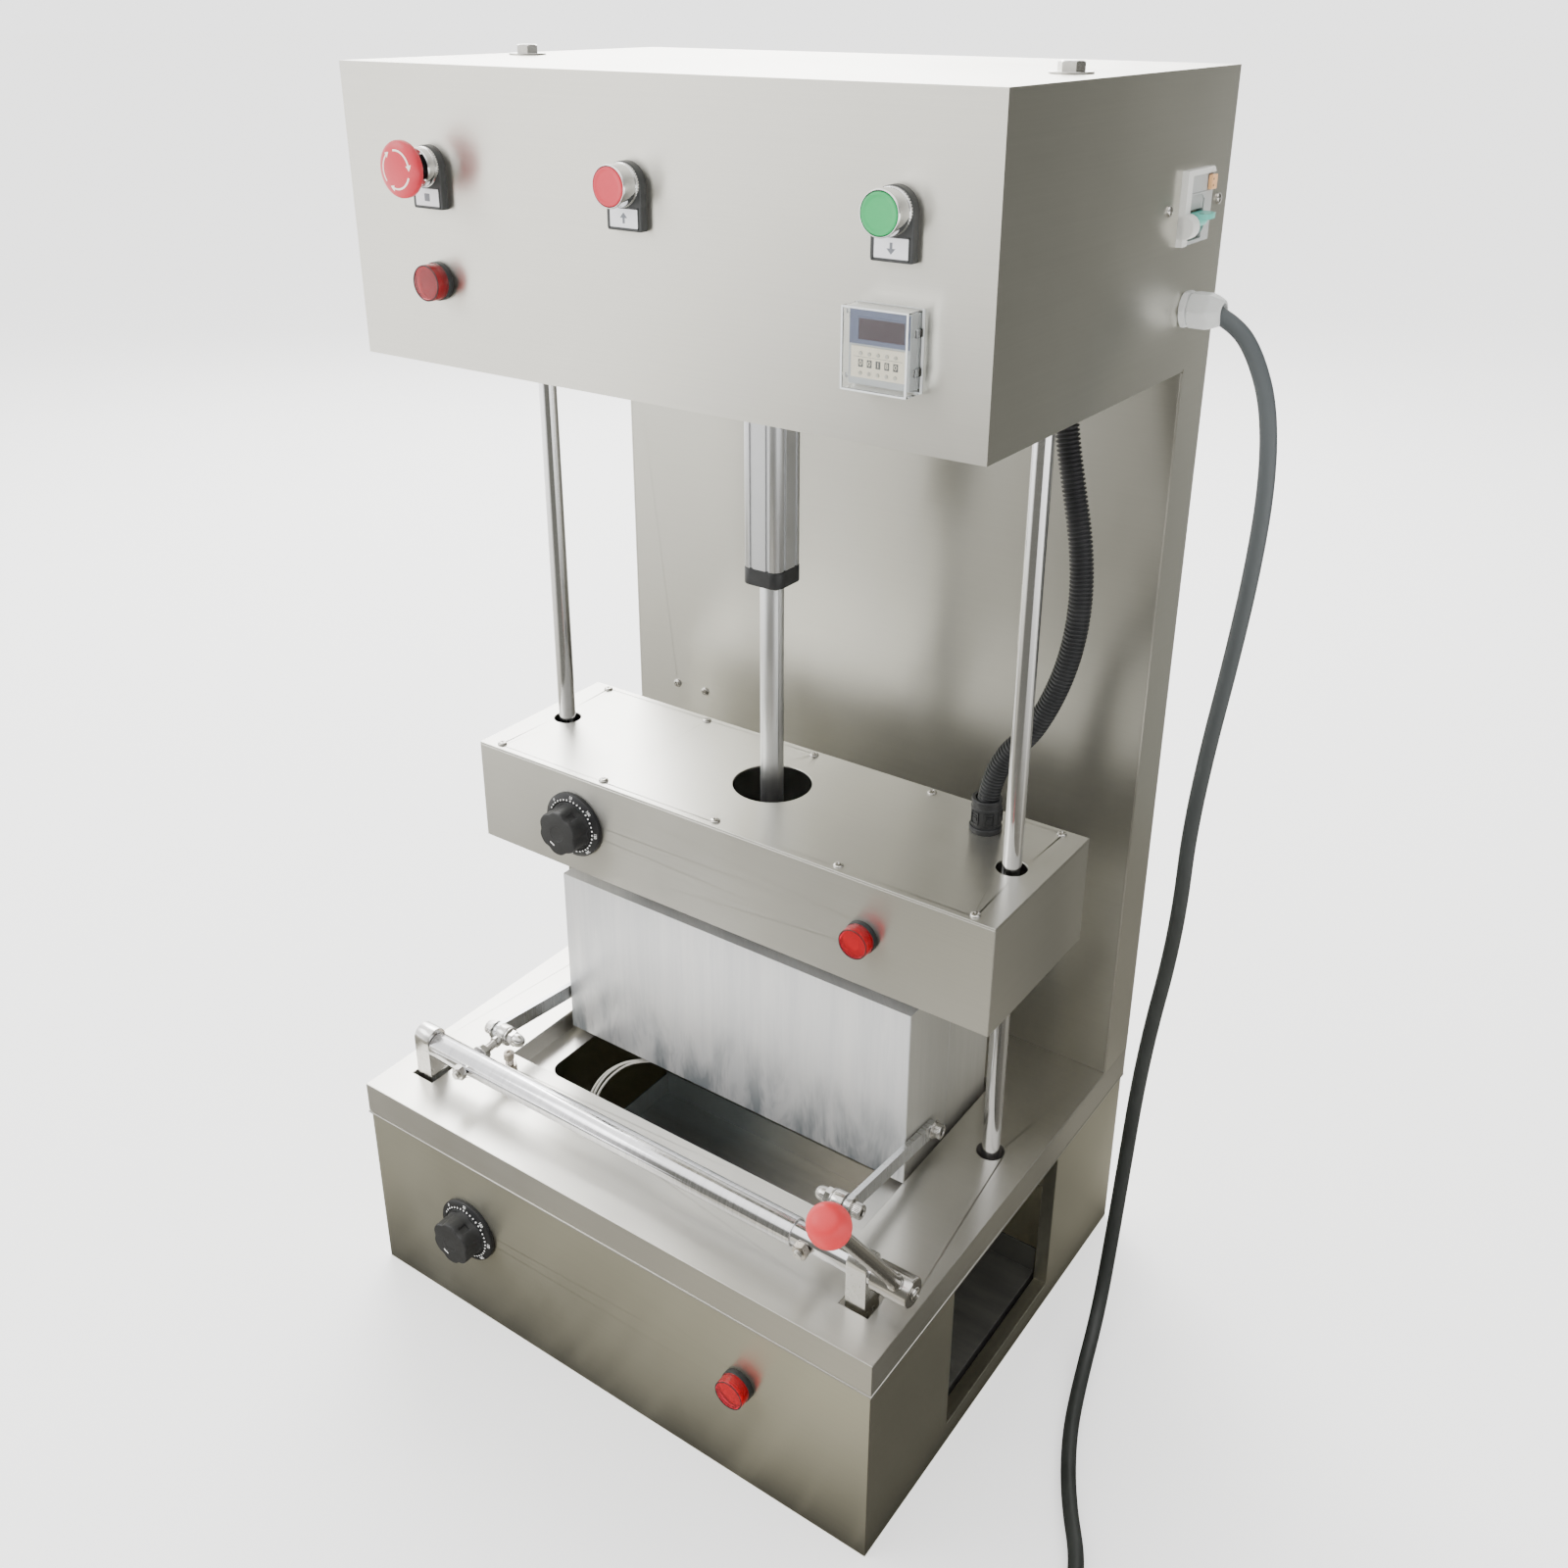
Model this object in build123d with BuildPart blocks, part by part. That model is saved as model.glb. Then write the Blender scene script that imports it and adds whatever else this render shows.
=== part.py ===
from build123d import *
import math
import os

os.makedirs("parts", exist_ok=True)

# ---------------------------------------------------------------- dimensions
# millimetres; +Z up, X across the front, Y towards the back.
# The origin is the centre of the underside of the base.
width = 560.0
depth = 465.0
height = 1101.0
sheet = 1.5            # stainless sheet thickness
half = width / 2


def Y(from_front):
    """Distance behind the front face of the base, as a row coordinate."""
    return from_front - depth / 2


lid_top = 212.6        # top face of the base lid
lid_skirt = 31.0       # depth of the lid's turned-down edge
head_front = 98.0      # head front face, behind the base front
head_bottom = 883.0
column_front = 415.0

rod_x, rod_y, rod_r = 241.0, 259.0, 8.0
carriage_x = 272.5
carriage_y0, carriage_y1 = 172.0, 339.0
carriage_z0, carriage_z1 = 403.5, 503.5

mould_x = 193.3
mould_y0, mould_seam, mould_y1 = 190.0, 260.0, 336.0
mould_z0, mould_z1 = 201.0, 378.0
cone_x = (-138.0, -46.0, 46.0, 138.0)

shaft_y, shaft_z, shaft_r = 51.0, 246.0, 10.0
crank_r = 44.1         # shaft axis to link pin
crank_deg = 6.0        # crank above horizontal at rest
link_len = 135.8
lever_deg = 36.0       # lever forward of vertical at rest
eye_x = 189.0
eye_y = shaft_y + crank_r * math.cos(math.radians(crank_deg))
eye_z = shaft_z + crank_r * math.sin(math.radians(crank_deg))
pin_z = 236.2
pin_y = eye_y + math.sqrt(link_len ** 2 - (eye_z - pin_z) ** 2)
print("eye", eye_y, eye_z, "pin", pin_y)

cord_r = 6.5
gland_y, gland_z = 402.0, 933.0

UP, DOWN = (0, 0, 1), (0, 0, -1)
OUT, IN = (0, -1, 0), (0, 1, 0)
RIGHT, LEFT = (1, 0, 0), (-1, 0, 0)
MIN3 = (Align.CENTER, Align.CENTER, Align.MIN)


def slab(x0, x1, y0, y1, z0, z1, mode=Mode.ADD):
    """A plain block between two corners."""
    with Locations(((x0 + x1) / 2, (y0 + y1) / 2, (z0 + z1) / 2)):
        Box(x1 - x0, y1 - y0, z1 - z0, mode=mode)


def bar(origin, direction, radius, length, mode=Mode.ADD):
    """A round bar or hole that starts at a point and runs along a direction."""
    with Locations(Plane(origin=origin, z_dir=direction)):
        Cylinder(radius, length, align=MIN3, mode=mode)


def hexagon(origin, direction, flats, length, bore=0.0):
    """A hexagonal nut or bolt head."""
    with BuildSketch(Plane(origin=origin, z_dir=direction)) as outline:
        RegularPolygon(radius=flats / 2, side_count=6, major_radius=False)
        if bore:
            Circle(bore, mode=Mode.SUBTRACT)
    extrude(outline.sketch, amount=length)


def turn_radii(points, label, cap=4000.0):
    """Largest tangent arc at each corner: 0.45 of the shorter run over tan(half turn)."""
    out = []
    for a, b, c in zip(points, points[1:], points[2:]):
        u, v = Vector(*b) - Vector(*a), Vector(*c) - Vector(*b)
        turn = math.radians(u.get_angle(v))
        out.append(min(cap, 0.45 * min(u.length, v.length) / math.tan(turn / 2)))
    print(label, "radii", [round(r) for r in out])
    return out


def pan_screw(origin, direction, head_r=4.4, head_h=2.5, shank_r=1.9, shank=8.0):
    """A pan-head screw whose head sits on the face at origin."""
    d = Vector(*direction)
    o = Vector(*origin)
    bar(o, d, head_r, head_h * 0.55)
    with Locations(Plane(origin=o + d * (head_h * 0.55), z_dir=d)):
        Cone(head_r, head_r * 0.55, head_h * 0.45, align=MIN3)
    bar(o, d * -1, shank_r, shank)


def group(*pieces):
    """Separate solids that share one node."""
    return Compound([solid for piece in pieces for solid in piece.part.solids()])


# ================================================================ base
with BuildPart() as base_shell:
    slab(-278.4, 278.4, Y(1.6), Y(463.4), 0, 211.1)
    slab(-276.9, 276.9, Y(3.1), Y(461.9), sheet, 212, Mode.SUBTRACT)
    # turned-in top flange that the lid rests on
    slab(-276.9, -264.9, Y(3.1), Y(461.9), 209.6, 211.1)
    slab(264.9, 276.9, Y(3.1), Y(461.9), 209.6, 211.1)
    slab(-264.9, 264.9, Y(3.1), Y(15.1), 209.6, 211.1)
    slab(-264.9, 264.9, Y(449.9), Y(461.9), 209.6, 211.1)
    # outlet in the right side, with turned-in edges
    slab(276, 279.5, Y(132), Y(324), 22.5, 181, Mode.SUBTRACT)
    slab(265.4, 276.9, Y(324), Y(325.5), 21, 182.5)
    slab(265.4, 276.9, Y(130.5), Y(132), 21, 182.5)
    slab(265.4, 276.9, Y(132), Y(324), 21, 22.5)
    slab(265.4, 276.9, Y(132), Y(324), 181, 182.5)
    bar((154, Y(0), 111), IN, 11.0, 6, Mode.SUBTRACT)
    bar((-157, Y(0), 103), IN, 5.0, 6, Mode.SUBTRACT)
base_shell.part.label = "base_shell"
export_step(base_shell.part, "parts/base_shell.step")

with BuildPart() as base_lid:
    slab(-half, half, Y(0), Y(depth), lid_top - lid_skirt, lid_top)
    slab(-half + sheet, half - sheet, Y(sheet), Y(depth - sheet),
         lid_top - lid_skirt - 1, lid_top - sheet, Mode.SUBTRACT)
    slab(-198.7, 198.7, Y(113), Y(345), 205, 215, Mode.SUBTRACT)
    slab(-256.5, -230.5, Y(37), Y(73), 205, 215, Mode.SUBTRACT)
    slab(225.5, 252.5, Y(37), Y(73), 205, 215, Mode.SUBTRACT)
    slab(-60, 60, Y(425), Y(455), 205, 215, Mode.SUBTRACT)
    for x in (-rod_x, rod_x):
        bar((x, Y(rod_y), 205), UP, 12.5, 10, Mode.SUBTRACT)
    bar((-184.7, Y(93.7), 205), UP, 4.1, 10, Mode.SUBTRACT)
base_lid.part.label = "base_lid"
export_step(base_lid.part, "parts/base_lid.step")

# sunken pan under the mould, with a wide drop-through opening
with BuildPart() as mould_pan:
    slab(-200.2, 200.2, Y(111.5), Y(346.5), 190.6, 211.1)
    slab(-210, 210, Y(103), Y(356), 209.6, 211.1)
    slab(-198.7, 198.7, Y(113), Y(345), 192.1, 212, Mode.SUBTRACT)
    with BuildSketch(Plane.XY.offset(190)):
        with Locations((0, Y(223.5))):
            RectangleRounded(344, 185, 15)
    extrude(amount=4, mode=Mode.SUBTRACT)
    for sx in (-1, 1):
        slab(min(sx * 174, sx * 192), max(sx * 174, sx * 192), Y(266), Y(334), 192.1, 201.0)
mould_pan.part.label = "mould_pan"
export_step(mould_pan.part, "parts/mould_pan.step")

# tray that catches the finished cones and lets them out at the side
with BuildPart() as discharge_tray:
    slab(-191.5, 262, Y(122.5), Y(331.5), 22.5, 24)
    slab(-191.5, 262, Y(122.5), Y(124), sheet, 50)
    slab(-191.5, 262, Y(330), Y(331.5), sheet, 52)
    slab(-191.5, -190, Y(124), Y(330), sheet, 50)
    slab(260.5, 262, Y(124), Y(330), sheet, 22.5)
discharge_tray.part.label = "discharge_tray"
export_step(discharge_tray.part, "parts/discharge_tray.step")

# cups under the lid that hold the lower ends of the guide rods
with BuildPart() as rod_sockets:
    for x in (-rod_x, rod_x):
        bar((x, Y(rod_y), 160), UP, 20, 51.1)
        bar((x, Y(rod_y), 172), UP, 13, 40, Mode.SUBTRACT)
        bar((x, Y(rod_y), 159), UP, rod_r, 20, Mode.SUBTRACT)
rod_sockets.part.label = "rod_sockets"
export_step(rod_sockets.part, "parts/rod_sockets.step")

# ================================================================ column and head
with BuildPart() as body_shell:
    for x0 in (-half, half - sheet):
        with BuildSketch(Plane.YZ.offset(x0)):
            with BuildLine():
                Polyline((Y(head_front), head_bottom), (Y(head_front), height), (Y(depth), height),
                         (Y(depth), lid_top), (Y(column_front), lid_top), (Y(column_front), head_bottom),
                         close=True)
            make_face()
        extrude(amount=sheet)
    slab(-half, half, Y(head_front), Y(head_front + sheet), head_bottom, height)
    slab(-half, half, Y(head_front), Y(depth), height - sheet, height)
    slab(-278.5, 278.5, Y(99.5), Y(112), 884.6, 886.1)
    for sx in (-1, 1):
        a, b = sorted((sx * 266.5, sx * 278.5))
        slab(a, b, Y(416.6), Y(418.1), 212.6, 883)
        slab(a, b, Y(461.9), Y(463.4), 212.6, 1099.5)
        slab(a, b, Y(418.1), Y(461.9), 212.6, 214.1)
        # small relief notch at the inner corner of the side sheet
        bar((-half - 1 if sx < 0 else half - 3, Y(column_front), head_bottom), RIGHT, 1.6, 4, Mode.SUBTRACT)
    bar((-190, Y(97), 1031), IN, 11, 4, Mode.SUBTRACT)
    bar((0, Y(97), 1031), IN, 11, 4, Mode.SUBTRACT)
    bar((210.5, Y(97), 1030), IN, 11, 4, Mode.SUBTRACT)
    bar((-190.6, Y(97), 948), IN, 11, 4, Mode.SUBTRACT)
    slab(187.6, 229.0, Y(97), Y(101), 927.3, 969.7, Mode.SUBTRACT)
    for x in (-272, 272):
        for z in (240, 450, 660, 870, 1080):
            bar((x, Y(461), z), IN, 1.95, 5, Mode.SUBTRACT)
    slab(278, 281, Y(371), Y(425), 981, 1034, Mode.SUBTRACT)
    bar((277, Y(gland_y), gland_z), RIGHT, 10, 6, Mode.SUBTRACT)
    for y in (352.4, 447.0):
        bar((277, Y(y), 1008), RIGHT, 2.0, 6, Mode.SUBTRACT)
    for x in (-rod_x, rod_x):
        bar((x, Y(rod_y), 1098), UP, 5.0, 5, Mode.SUBTRACT)
body_shell.part.label = "body_shell"
export_step(body_shell.part, "parts/body_shell.step")

with BuildPart() as rear_cover:
    slab(-278.4, 278.4, Y(463.5), Y(465), 213, 1099.4)
    with BuildSketch(Plane(origin=(0, Y(466), 990), x_dir=RIGHT, z_dir=IN)):
        with GridLocations(120, 14, 3, 7):
            SlotOverall(80, 5)
    extrude(amount=-4, mode=Mode.SUBTRACT)
    for x in (-272, 272):
        for z in (240, 450, 660, 870, 1080):
            bar((x, Y(462), z), IN, 1.95, 5, Mode.SUBTRACT)
rear_cover.part.label = "rear_cover"
export_step(rear_cover.part, "parts/rear_cover.step")

with BuildPart() as column_front_panel:
    slab(-278.4, 278.4, Y(415), Y(416.5), 212.7, 882.9)
    for x in (-229.6, -193.3):
        bar((x, Y(414), 485.5), IN, 1.95, 4, Mode.SUBTRACT)
column_front_panel.part.label = "column_front_panel"
export_step(column_front_panel.part, "parts/column_front_panel.step")

hose_top_x, hose_top_y = 229.6, 309.9
with BuildPart() as head_bottom_plate:
    slab(-278.4, 278.4, Y(99.6), Y(414.9), 883, 884.5)
    slab(-278.4, -277, Y(112.5), Y(414.9), 884.5, 896)
    slab(277, 278.4, Y(112.5), Y(414.9), 884.5, 896)
    for x in (-rod_x, rod_x):
        bar((x, Y(rod_y), 882), UP, 9, 4, Mode.SUBTRACT)
    slab(-20.5, 20.5, Y(243), Y(284), 882, 886, Mode.SUBTRACT)
    bar((hose_top_x, Y(hose_top_y), 882), UP, 11.5, 4, Mode.SUBTRACT)
head_bottom_plate.part.label = "head_bottom_plate"
export_step(head_bottom_plate.part, "parts/head_bottom_plate.step")

with BuildPart() as guide_rods:
    for x in (-rod_x, rod_x):
        bar((x, Y(rod_y), 163), UP, rod_r, height - sheet - 163)
        bar((x, Y(rod_y), 1074), UP, 5.0, 30, Mode.SUBTRACT)
guide_rods.part.label = "guide_rods"
export_step(guide_rods.part, "parts/guide_rods.step")

act_y = 263.5
with BuildPart() as frame_bolts:
    for x in (-rod_x, rod_x):
        bar((x, Y(rod_y), height), UP, 15, 1.5)
        bar((x, Y(rod_y), height - 1), UP, 5.0, 4, Mode.SUBTRACT)
    for x in (-rod_x, rod_x):
        hexagon((x, Y(rod_y), height + 1.5), UP, 16, 6.5)
        bar((x, Y(rod_y), 1076), UP, 5.0, height + 1.5 - 1076)
    # pin that hangs the actuator from the top of the head
    bar((-19, Y(act_y), 1068), RIGHT, 5, 38)
    bar((-22, Y(act_y), 1068), RIGHT, 7.5, 3)
    # stop for the linkage: a stud with a nut each side of the lid
    hexagon((-184.7, Y(93.7), lid_top), UP, 13, 6.5)
    hexagon((-184.7, Y(93.7), 204.6), UP, 13, 6.5)
    bar((-184.7, Y(93.7), 198), UP, 4.0, 34)

# ================================================================ linear actuator, fixed half
with BuildPart() as actuator_tube:
    with BuildSketch(Plane.XY.offset(711)):
        with Locations((0, Y(act_y))):
            RectangleRounded(37, 37, 8)
            Circle(14, mode=Mode.SUBTRACT)
        for dx, dy, w, h in ((8, 18.2, 3, 1.6), (-8, 18.2, 3, 1.6), (8, -18.2, 3, 1.6), (-8, -18.2, 3, 1.6),
                             (18.2, 8, 1.6, 3), (18.2, -8, 1.6, 3), (-18.2, 8, 1.6, 3), (-18.2, -8, 1.6, 3)):
            with Locations((dx, Y(act_y) + dy)):
                Rectangle(w, h, mode=Mode.SUBTRACT)
    extrude(amount=289)
actuator_tube.part.label = "actuator_tube"
export_step(actuator_tube.part, "parts/actuator_tube.step")

with BuildPart() as actuator_end_cap:
    with BuildSketch(Plane.XY.offset(696.6)):
        with Locations((0, Y(act_y))):
            RectangleRounded(38, 38, 9)
            Circle(10.35, mode=Mode.SUBTRACT)
    extrude(amount=14.4)
    with BuildSketch(Plane.XY.offset(695)):
        with Locations((0, Y(act_y))):
            Circle(13)
            Circle(10.35, mode=Mode.SUBTRACT)
    extrude(amount=1.6)
actuator_end_cap.part.label = "actuator_end_cap"
export_step(actuator_end_cap.part, "parts/actuator_end_cap.step")

with BuildPart() as actuator_gearbox:
    with BuildSketch(Plane.XY.offset(1000)):
        with Locations((0, Y(act_y + 20))):
            RectangleRounded(62, 104, 14)
    extrude(amount=46)
    bar((0, Y(act_y + 46), 892), UP, 26, 108)
    slab(-9, 9, Y(act_y - 12), Y(act_y + 12), 1046, 1080)
    bar((-10, Y(act_y), 1068), RIGHT, 5, 20, Mode.SUBTRACT)
with BuildPart() as actuator_hanger:
    slab(-45, 45, Y(act_y - 32), Y(act_y + 32), 1095.5, 1099.5)
    slab(-15.5, -9.5, Y(act_y - 20), Y(act_y + 20), 1056, 1095.5)
    slab(9.5, 15.5, Y(act_y - 20), Y(act_y + 20), 1056, 1095.5)
    bar((-20, Y(act_y), 1068), RIGHT, 5, 40, Mode.SUBTRACT)
gearbox_set = group(actuator_gearbox, actuator_hanger)
gearbox_set.label = "actuator_gearbox"
export_step(gearbox_set, "parts/actuator_gearbox.step")

# ================================================================ split mould
with BuildPart() as mould_rear_half:
    slab(-mould_x, mould_x, Y(mould_seam + 0.15), Y(mould_y1), mould_z0, mould_z1)
    for x in cone_x:
        with Locations((x, Y(mould_seam), 207)):
            Cone(11, 31, mould_z1 - 207 + 0.2, align=MIN3, mode=Mode.SUBTRACT)
    for x in (-181, 181):
        for z in (226, 352):
            bar((x, Y(mould_seam - 1), z), IN, 5.0, 31, Mode.SUBTRACT)
    for x in (-92, 0, 92):
        bar((x, Y(290), 200), UP, 6.25, 150, Mode.SUBTRACT)
    chamfer(mould_rear_half.edges().filter_by(Axis.Z).sort_by(Axis.Y)[-2:], 0.8)
mould_rear_half.part.label = "mould_rear_half"
export_step(mould_rear_half.part, "parts/mould_rear_half.step")

with BuildPart() as mould_front_half:
    slab(-mould_x, mould_x, Y(mould_y0), Y(mould_seam - 0.15), mould_z0, mould_z1)
    for x in cone_x:
        with Locations((x, Y(mould_seam), 207)):
            Cone(11, 31, mould_z1 - 207 + 0.2, align=MIN3, mode=Mode.SUBTRACT)
    for x in (-181, 181):
        for z in (226, 352):
            bar((x, Y(199), z), IN, 5.05, 62, Mode.SUBTRACT)
    for x in (-92, 0, 92):
        bar((x, Y(226), 200), UP, 6.25, 150, Mode.SUBTRACT)
    chamfer(mould_front_half.edges().filter_by(Axis.Z).sort_by(Axis.Y)[:2], 0.8)
mould_front_half.part.label = "mould_front_half"
export_step(mould_front_half.part, "parts/mould_front_half.step")

# dowels fixed in the rear half; the front half slides on them
with BuildPart() as mould_guide_pins:
    for x in (-181, 181):
        for z in (226, 352):
            bar((x, Y(202), z), IN, 5.0, 88)
mould_guide_pins.part.label = "mould_guide_pins"
export_step(mould_guide_pins.part, "parts/mould_guide_pins.step")

with BuildPart() as rear_heaters:
    for x in (-92, 0, 92):
        bar((x, Y(290), 196), UP, 6.25, 150)
rear_heaters.part.label = "rear_heaters"
export_step(rear_heaters.part, "parts/rear_heaters.step")

with BuildPart() as front_heaters:
    for x in (-92, 0, 92):
        bar((x, Y(226), 196), UP, 6.25, 150)
front_heaters.part.label = "front_heaters"
export_step(front_heaters.part, "parts/front_heaters.step")

# heater wires: out from under the moving half, forward and down into the base
lead_pts = [(-92, 226, 194.6), (-92.6, 222, 188.8), (-97, 210, 188.5), (-106, 196, 192.5), (-117, 182, 194.0),
            (-123, 164, 191.0), (-123.5, 146, 184.5), (-121, 131, 172.0), (-120, 125, 156.0), (-120, 124, 140.6)]
with BuildPart() as heater_leads:
    for off in (-3.3, 0.0, 3.3):
        pts = [(x + off, Y(y + 0.25 * off), z) for x, y, z in lead_pts]
        with BuildLine():
            run = FilletPolyline(*pts, radius=turn_radii(pts, "lead"))
        with BuildSketch(Plane(origin=run @ 0, z_dir=run % 0)):
            Circle(1.5)
        sweep()
heater_leads.part.label = "heater_leads"
export_step(heater_leads.part, "parts/heater_leads.step")

# ================================================================ crank that opens the mould
with BuildPart() as shaft_brackets:
    for x0, x1 in ((-252.4, -234.0), (229.4, 247.8)):
        with BuildSketch(Plane.YZ.offset(x0)):
            with Locations((Y(shaft_y), 206)):
                Rectangle(22, 92)
            with Locations((Y(shaft_y), 252)):
                Circle(11)
            with Locations((Y(32.5), 166)):
                Rectangle(58.8, 12)
            with Locations((Y(shaft_y), shaft_z)):
                Circle(shaft_r + 0.05, mode=Mode.SUBTRACT)
        extrude(amount=x1 - x0)
shaft_brackets.part.label = "shaft_brackets"
export_step(shaft_brackets.part, "parts/shaft_brackets.step")

c6, s6 = math.cos(math.radians(crank_deg)), math.sin(math.radians(crank_deg))
crank_dir = (0, c6, s6)
crank_back = (0, -c6, -s6)


def on_crank(x, dist):
    return (x, Y(shaft_y) + c6 * dist, shaft_z + s6 * dist)


with BuildPart() as handle_shaft:
    bar((-253, Y(shaft_y), shaft_z), RIGHT, shaft_r, 503)
    bar((250, Y(shaft_y), shaft_z), RIGHT, 6.0, 33)
    bar((265, Y(shaft_y), shaft_z), RIGHT, 2.5, 20, Mode.SUBTRACT)
    for x in (-eye_x, eye_x):
        bar(on_crank(x, -20), crank_dir, 4.0, 40, Mode.SUBTRACT)
handle_shaft.part.label = "handle_shaft"
export_step(handle_shaft.part, "parts/handle_shaft.step")

with BuildPart() as handle_sleeve:
    bar((-233.4, Y(shaft_y), shaft_z), RIGHT, 12.0, 409.4)
    bar((-240, Y(shaft_y), shaft_z), RIGHT, shaft_r, 430, Mode.SUBTRACT)
    bar(on_crank(-eye_x, -20), crank_dir, 4.0, 40, Mode.SUBTRACT)
handle_sleeve.part.label = "handle_sleeve"
export_step(handle_sleeve.part, "parts/handle_sleeve.step")

lever_dir = (0, -math.sin(math.radians(lever_deg)), math.cos(math.radians(lever_deg)))


def on_lever(dist):
    return (271.8, Y(shaft_y) + lever_dir[1] * dist, shaft_z + lever_dir[2] * dist)


with BuildPart() as lever_hub:
    bar((250.5, Y(shaft_y), shaft_z), RIGHT, 12.5, 34)
    bar((250, Y(shaft_y), shaft_z), RIGHT, 6.0, 36, Mode.SUBTRACT)
    bar(on_lever(7.0), lever_dir, 5.75, 20, Mode.SUBTRACT)
    pan_screw((284.5, Y(shaft_y), shaft_z), RIGHT, head_r=5.6, head_h=3.2, shank_r=2.5, shank=18)
with BuildPart() as lever_rod:
    bar(on_lever(7.0), lever_dir, 5.75, 160)
lever = group(lever_hub, lever_rod)
lever.label = "lever"
export_step(lever, "parts/lever.step")

with BuildPart() as lever_ball:
    with BuildSketch(Plane(origin=on_lever(0), x_dir=(1, 0, 0), z_dir=(0, -lever_dir[2], lever_dir[1]))) as ball_sk:
        # profile in (radius, distance along the lever)
        with BuildLine():
            Polyline((5.75, 167), (5.75, 155.5), (8.6, 156.2))
            Spline((8.6, 156.2), (12.6, 162.5), (15.7, 172.5), (13.4, 183.5), (0, 190.4),
                   tangents=((0.55, 1), (-1, 0)))
            Polyline((0, 190.4), (0, 167), (5.75, 167))
        make_face()
    revolve(axis=Axis(origin=on_lever(0), direction=lever_dir), revolution_arc=360)
lever_ball.part.label = "lever_ball"
export_step(lever_ball.part, "parts/lever_ball.step")

with BuildPart() as eye_bolts:
    for sx in (-1, 1):
        x = sx * eye_x
        face = 12.0 if sx < 0 else 10.0
        # threaded stud with an eye on its end
        bar(on_crank(x, -face - 10), crank_dir, 4.0, face + 10 + crank_r - 7)
        bar((sx * 183.0, Y(eye_y), eye_z), (sx, 0, 0), 9.5, 10.9)
        bar((sx * 182.0, Y(eye_y), eye_z), (sx, 0, 0), 4.0, 13.0, Mode.SUBTRACT)
    for sx in (-1, 1):
        x = sx * eye_x
        face = 12.0 if sx < 0 else 10.0
        hexagon(on_crank(x, -face), crank_back, 13, 6.5, bore=4.0)
        hexagon(on_crank(x, face), crank_dir, 13, 6.5, bore=4.0)
with BuildPart() as link_pins:
    for sx in (-1, 1):
        d = (sx, 0, 0)
        back = (-sx, 0, 0)
        bar((sx * 168, Y(eye_y), eye_z), d, 4.0, 33)
        bar((sx * 201, Y(eye_y), eye_z), d, 6.5, 9)
        bar((sx * 206, Y(eye_y), eye_z), d, 3.2, 5, Mode.SUBTRACT)
        hexagon((sx * 181.5, Y(eye_y), eye_z), back, 13, 6.5)
        bar((sx * 175, Y(eye_y), eye_z), back, 5.6, 6)
        with Locations(Plane(origin=(sx * 169, Y(eye_y), eye_z), z_dir=back)):
            Cone(5.6, 2.6, 4, align=MIN3)
    for sx in (-1, 1):
        d = (sx, 0, 0)
        with BuildSketch(Plane(origin=(sx * 199.5, Y(eye_y), eye_z), z_dir=d)):
            Circle(9)
            Circle(4.0, mode=Mode.SUBTRACT)
        extrude(amount=1.5)
        with BuildSketch(Plane(origin=(sx * 181.5, Y(eye_y), eye_z), z_dir=d)):
            Circle(9)
            Circle(4.0, mode=Mode.SUBTRACT)
        extrude(amount=1.5)
eye_set = group(eye_bolts, link_pins)
eye_set.label = "eye_bolts"
export_step(eye_set, "parts/eye_bolts.step")

link_dir = (0, (pin_y - eye_y) / link_len, (pin_z - eye_z) / link_len)
with BuildPart() as link_bars:
    for x0 in (-199.2, 194.2):
        with BuildSketch(Plane(origin=(x0, Y(eye_y), eye_z), x_dir=link_dir, z_dir=(1, 0, 0))):
            with Locations((link_len / 2, 0)):
                SlotCenterToCenter(link_len, 15)
            Circle(4.05, mode=Mode.SUBTRACT)
            with Locations((link_len, 0)):
                Circle(4.0, mode=Mode.SUBTRACT)
        extrude(amount=5.0)

with BuildPart() as link_screws:
    for sx in (-1, 1):
        bar((sx * 193.6, Y(pin_y), pin_z), (sx, 0, 0), 4.0, 5.6)
        bar((sx * 199.2, Y(pin_y), pin_z), (sx, 0, 0), 6.5, 8)
        bar((sx * 203.2, Y(pin_y), pin_z), (sx, 0, 0), 3.2, 5, Mode.SUBTRACT)
link_set = group(link_bars, link_screws)
link_set.label = "link_bars"
export_step(link_set, "parts/link_bars.step")

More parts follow.
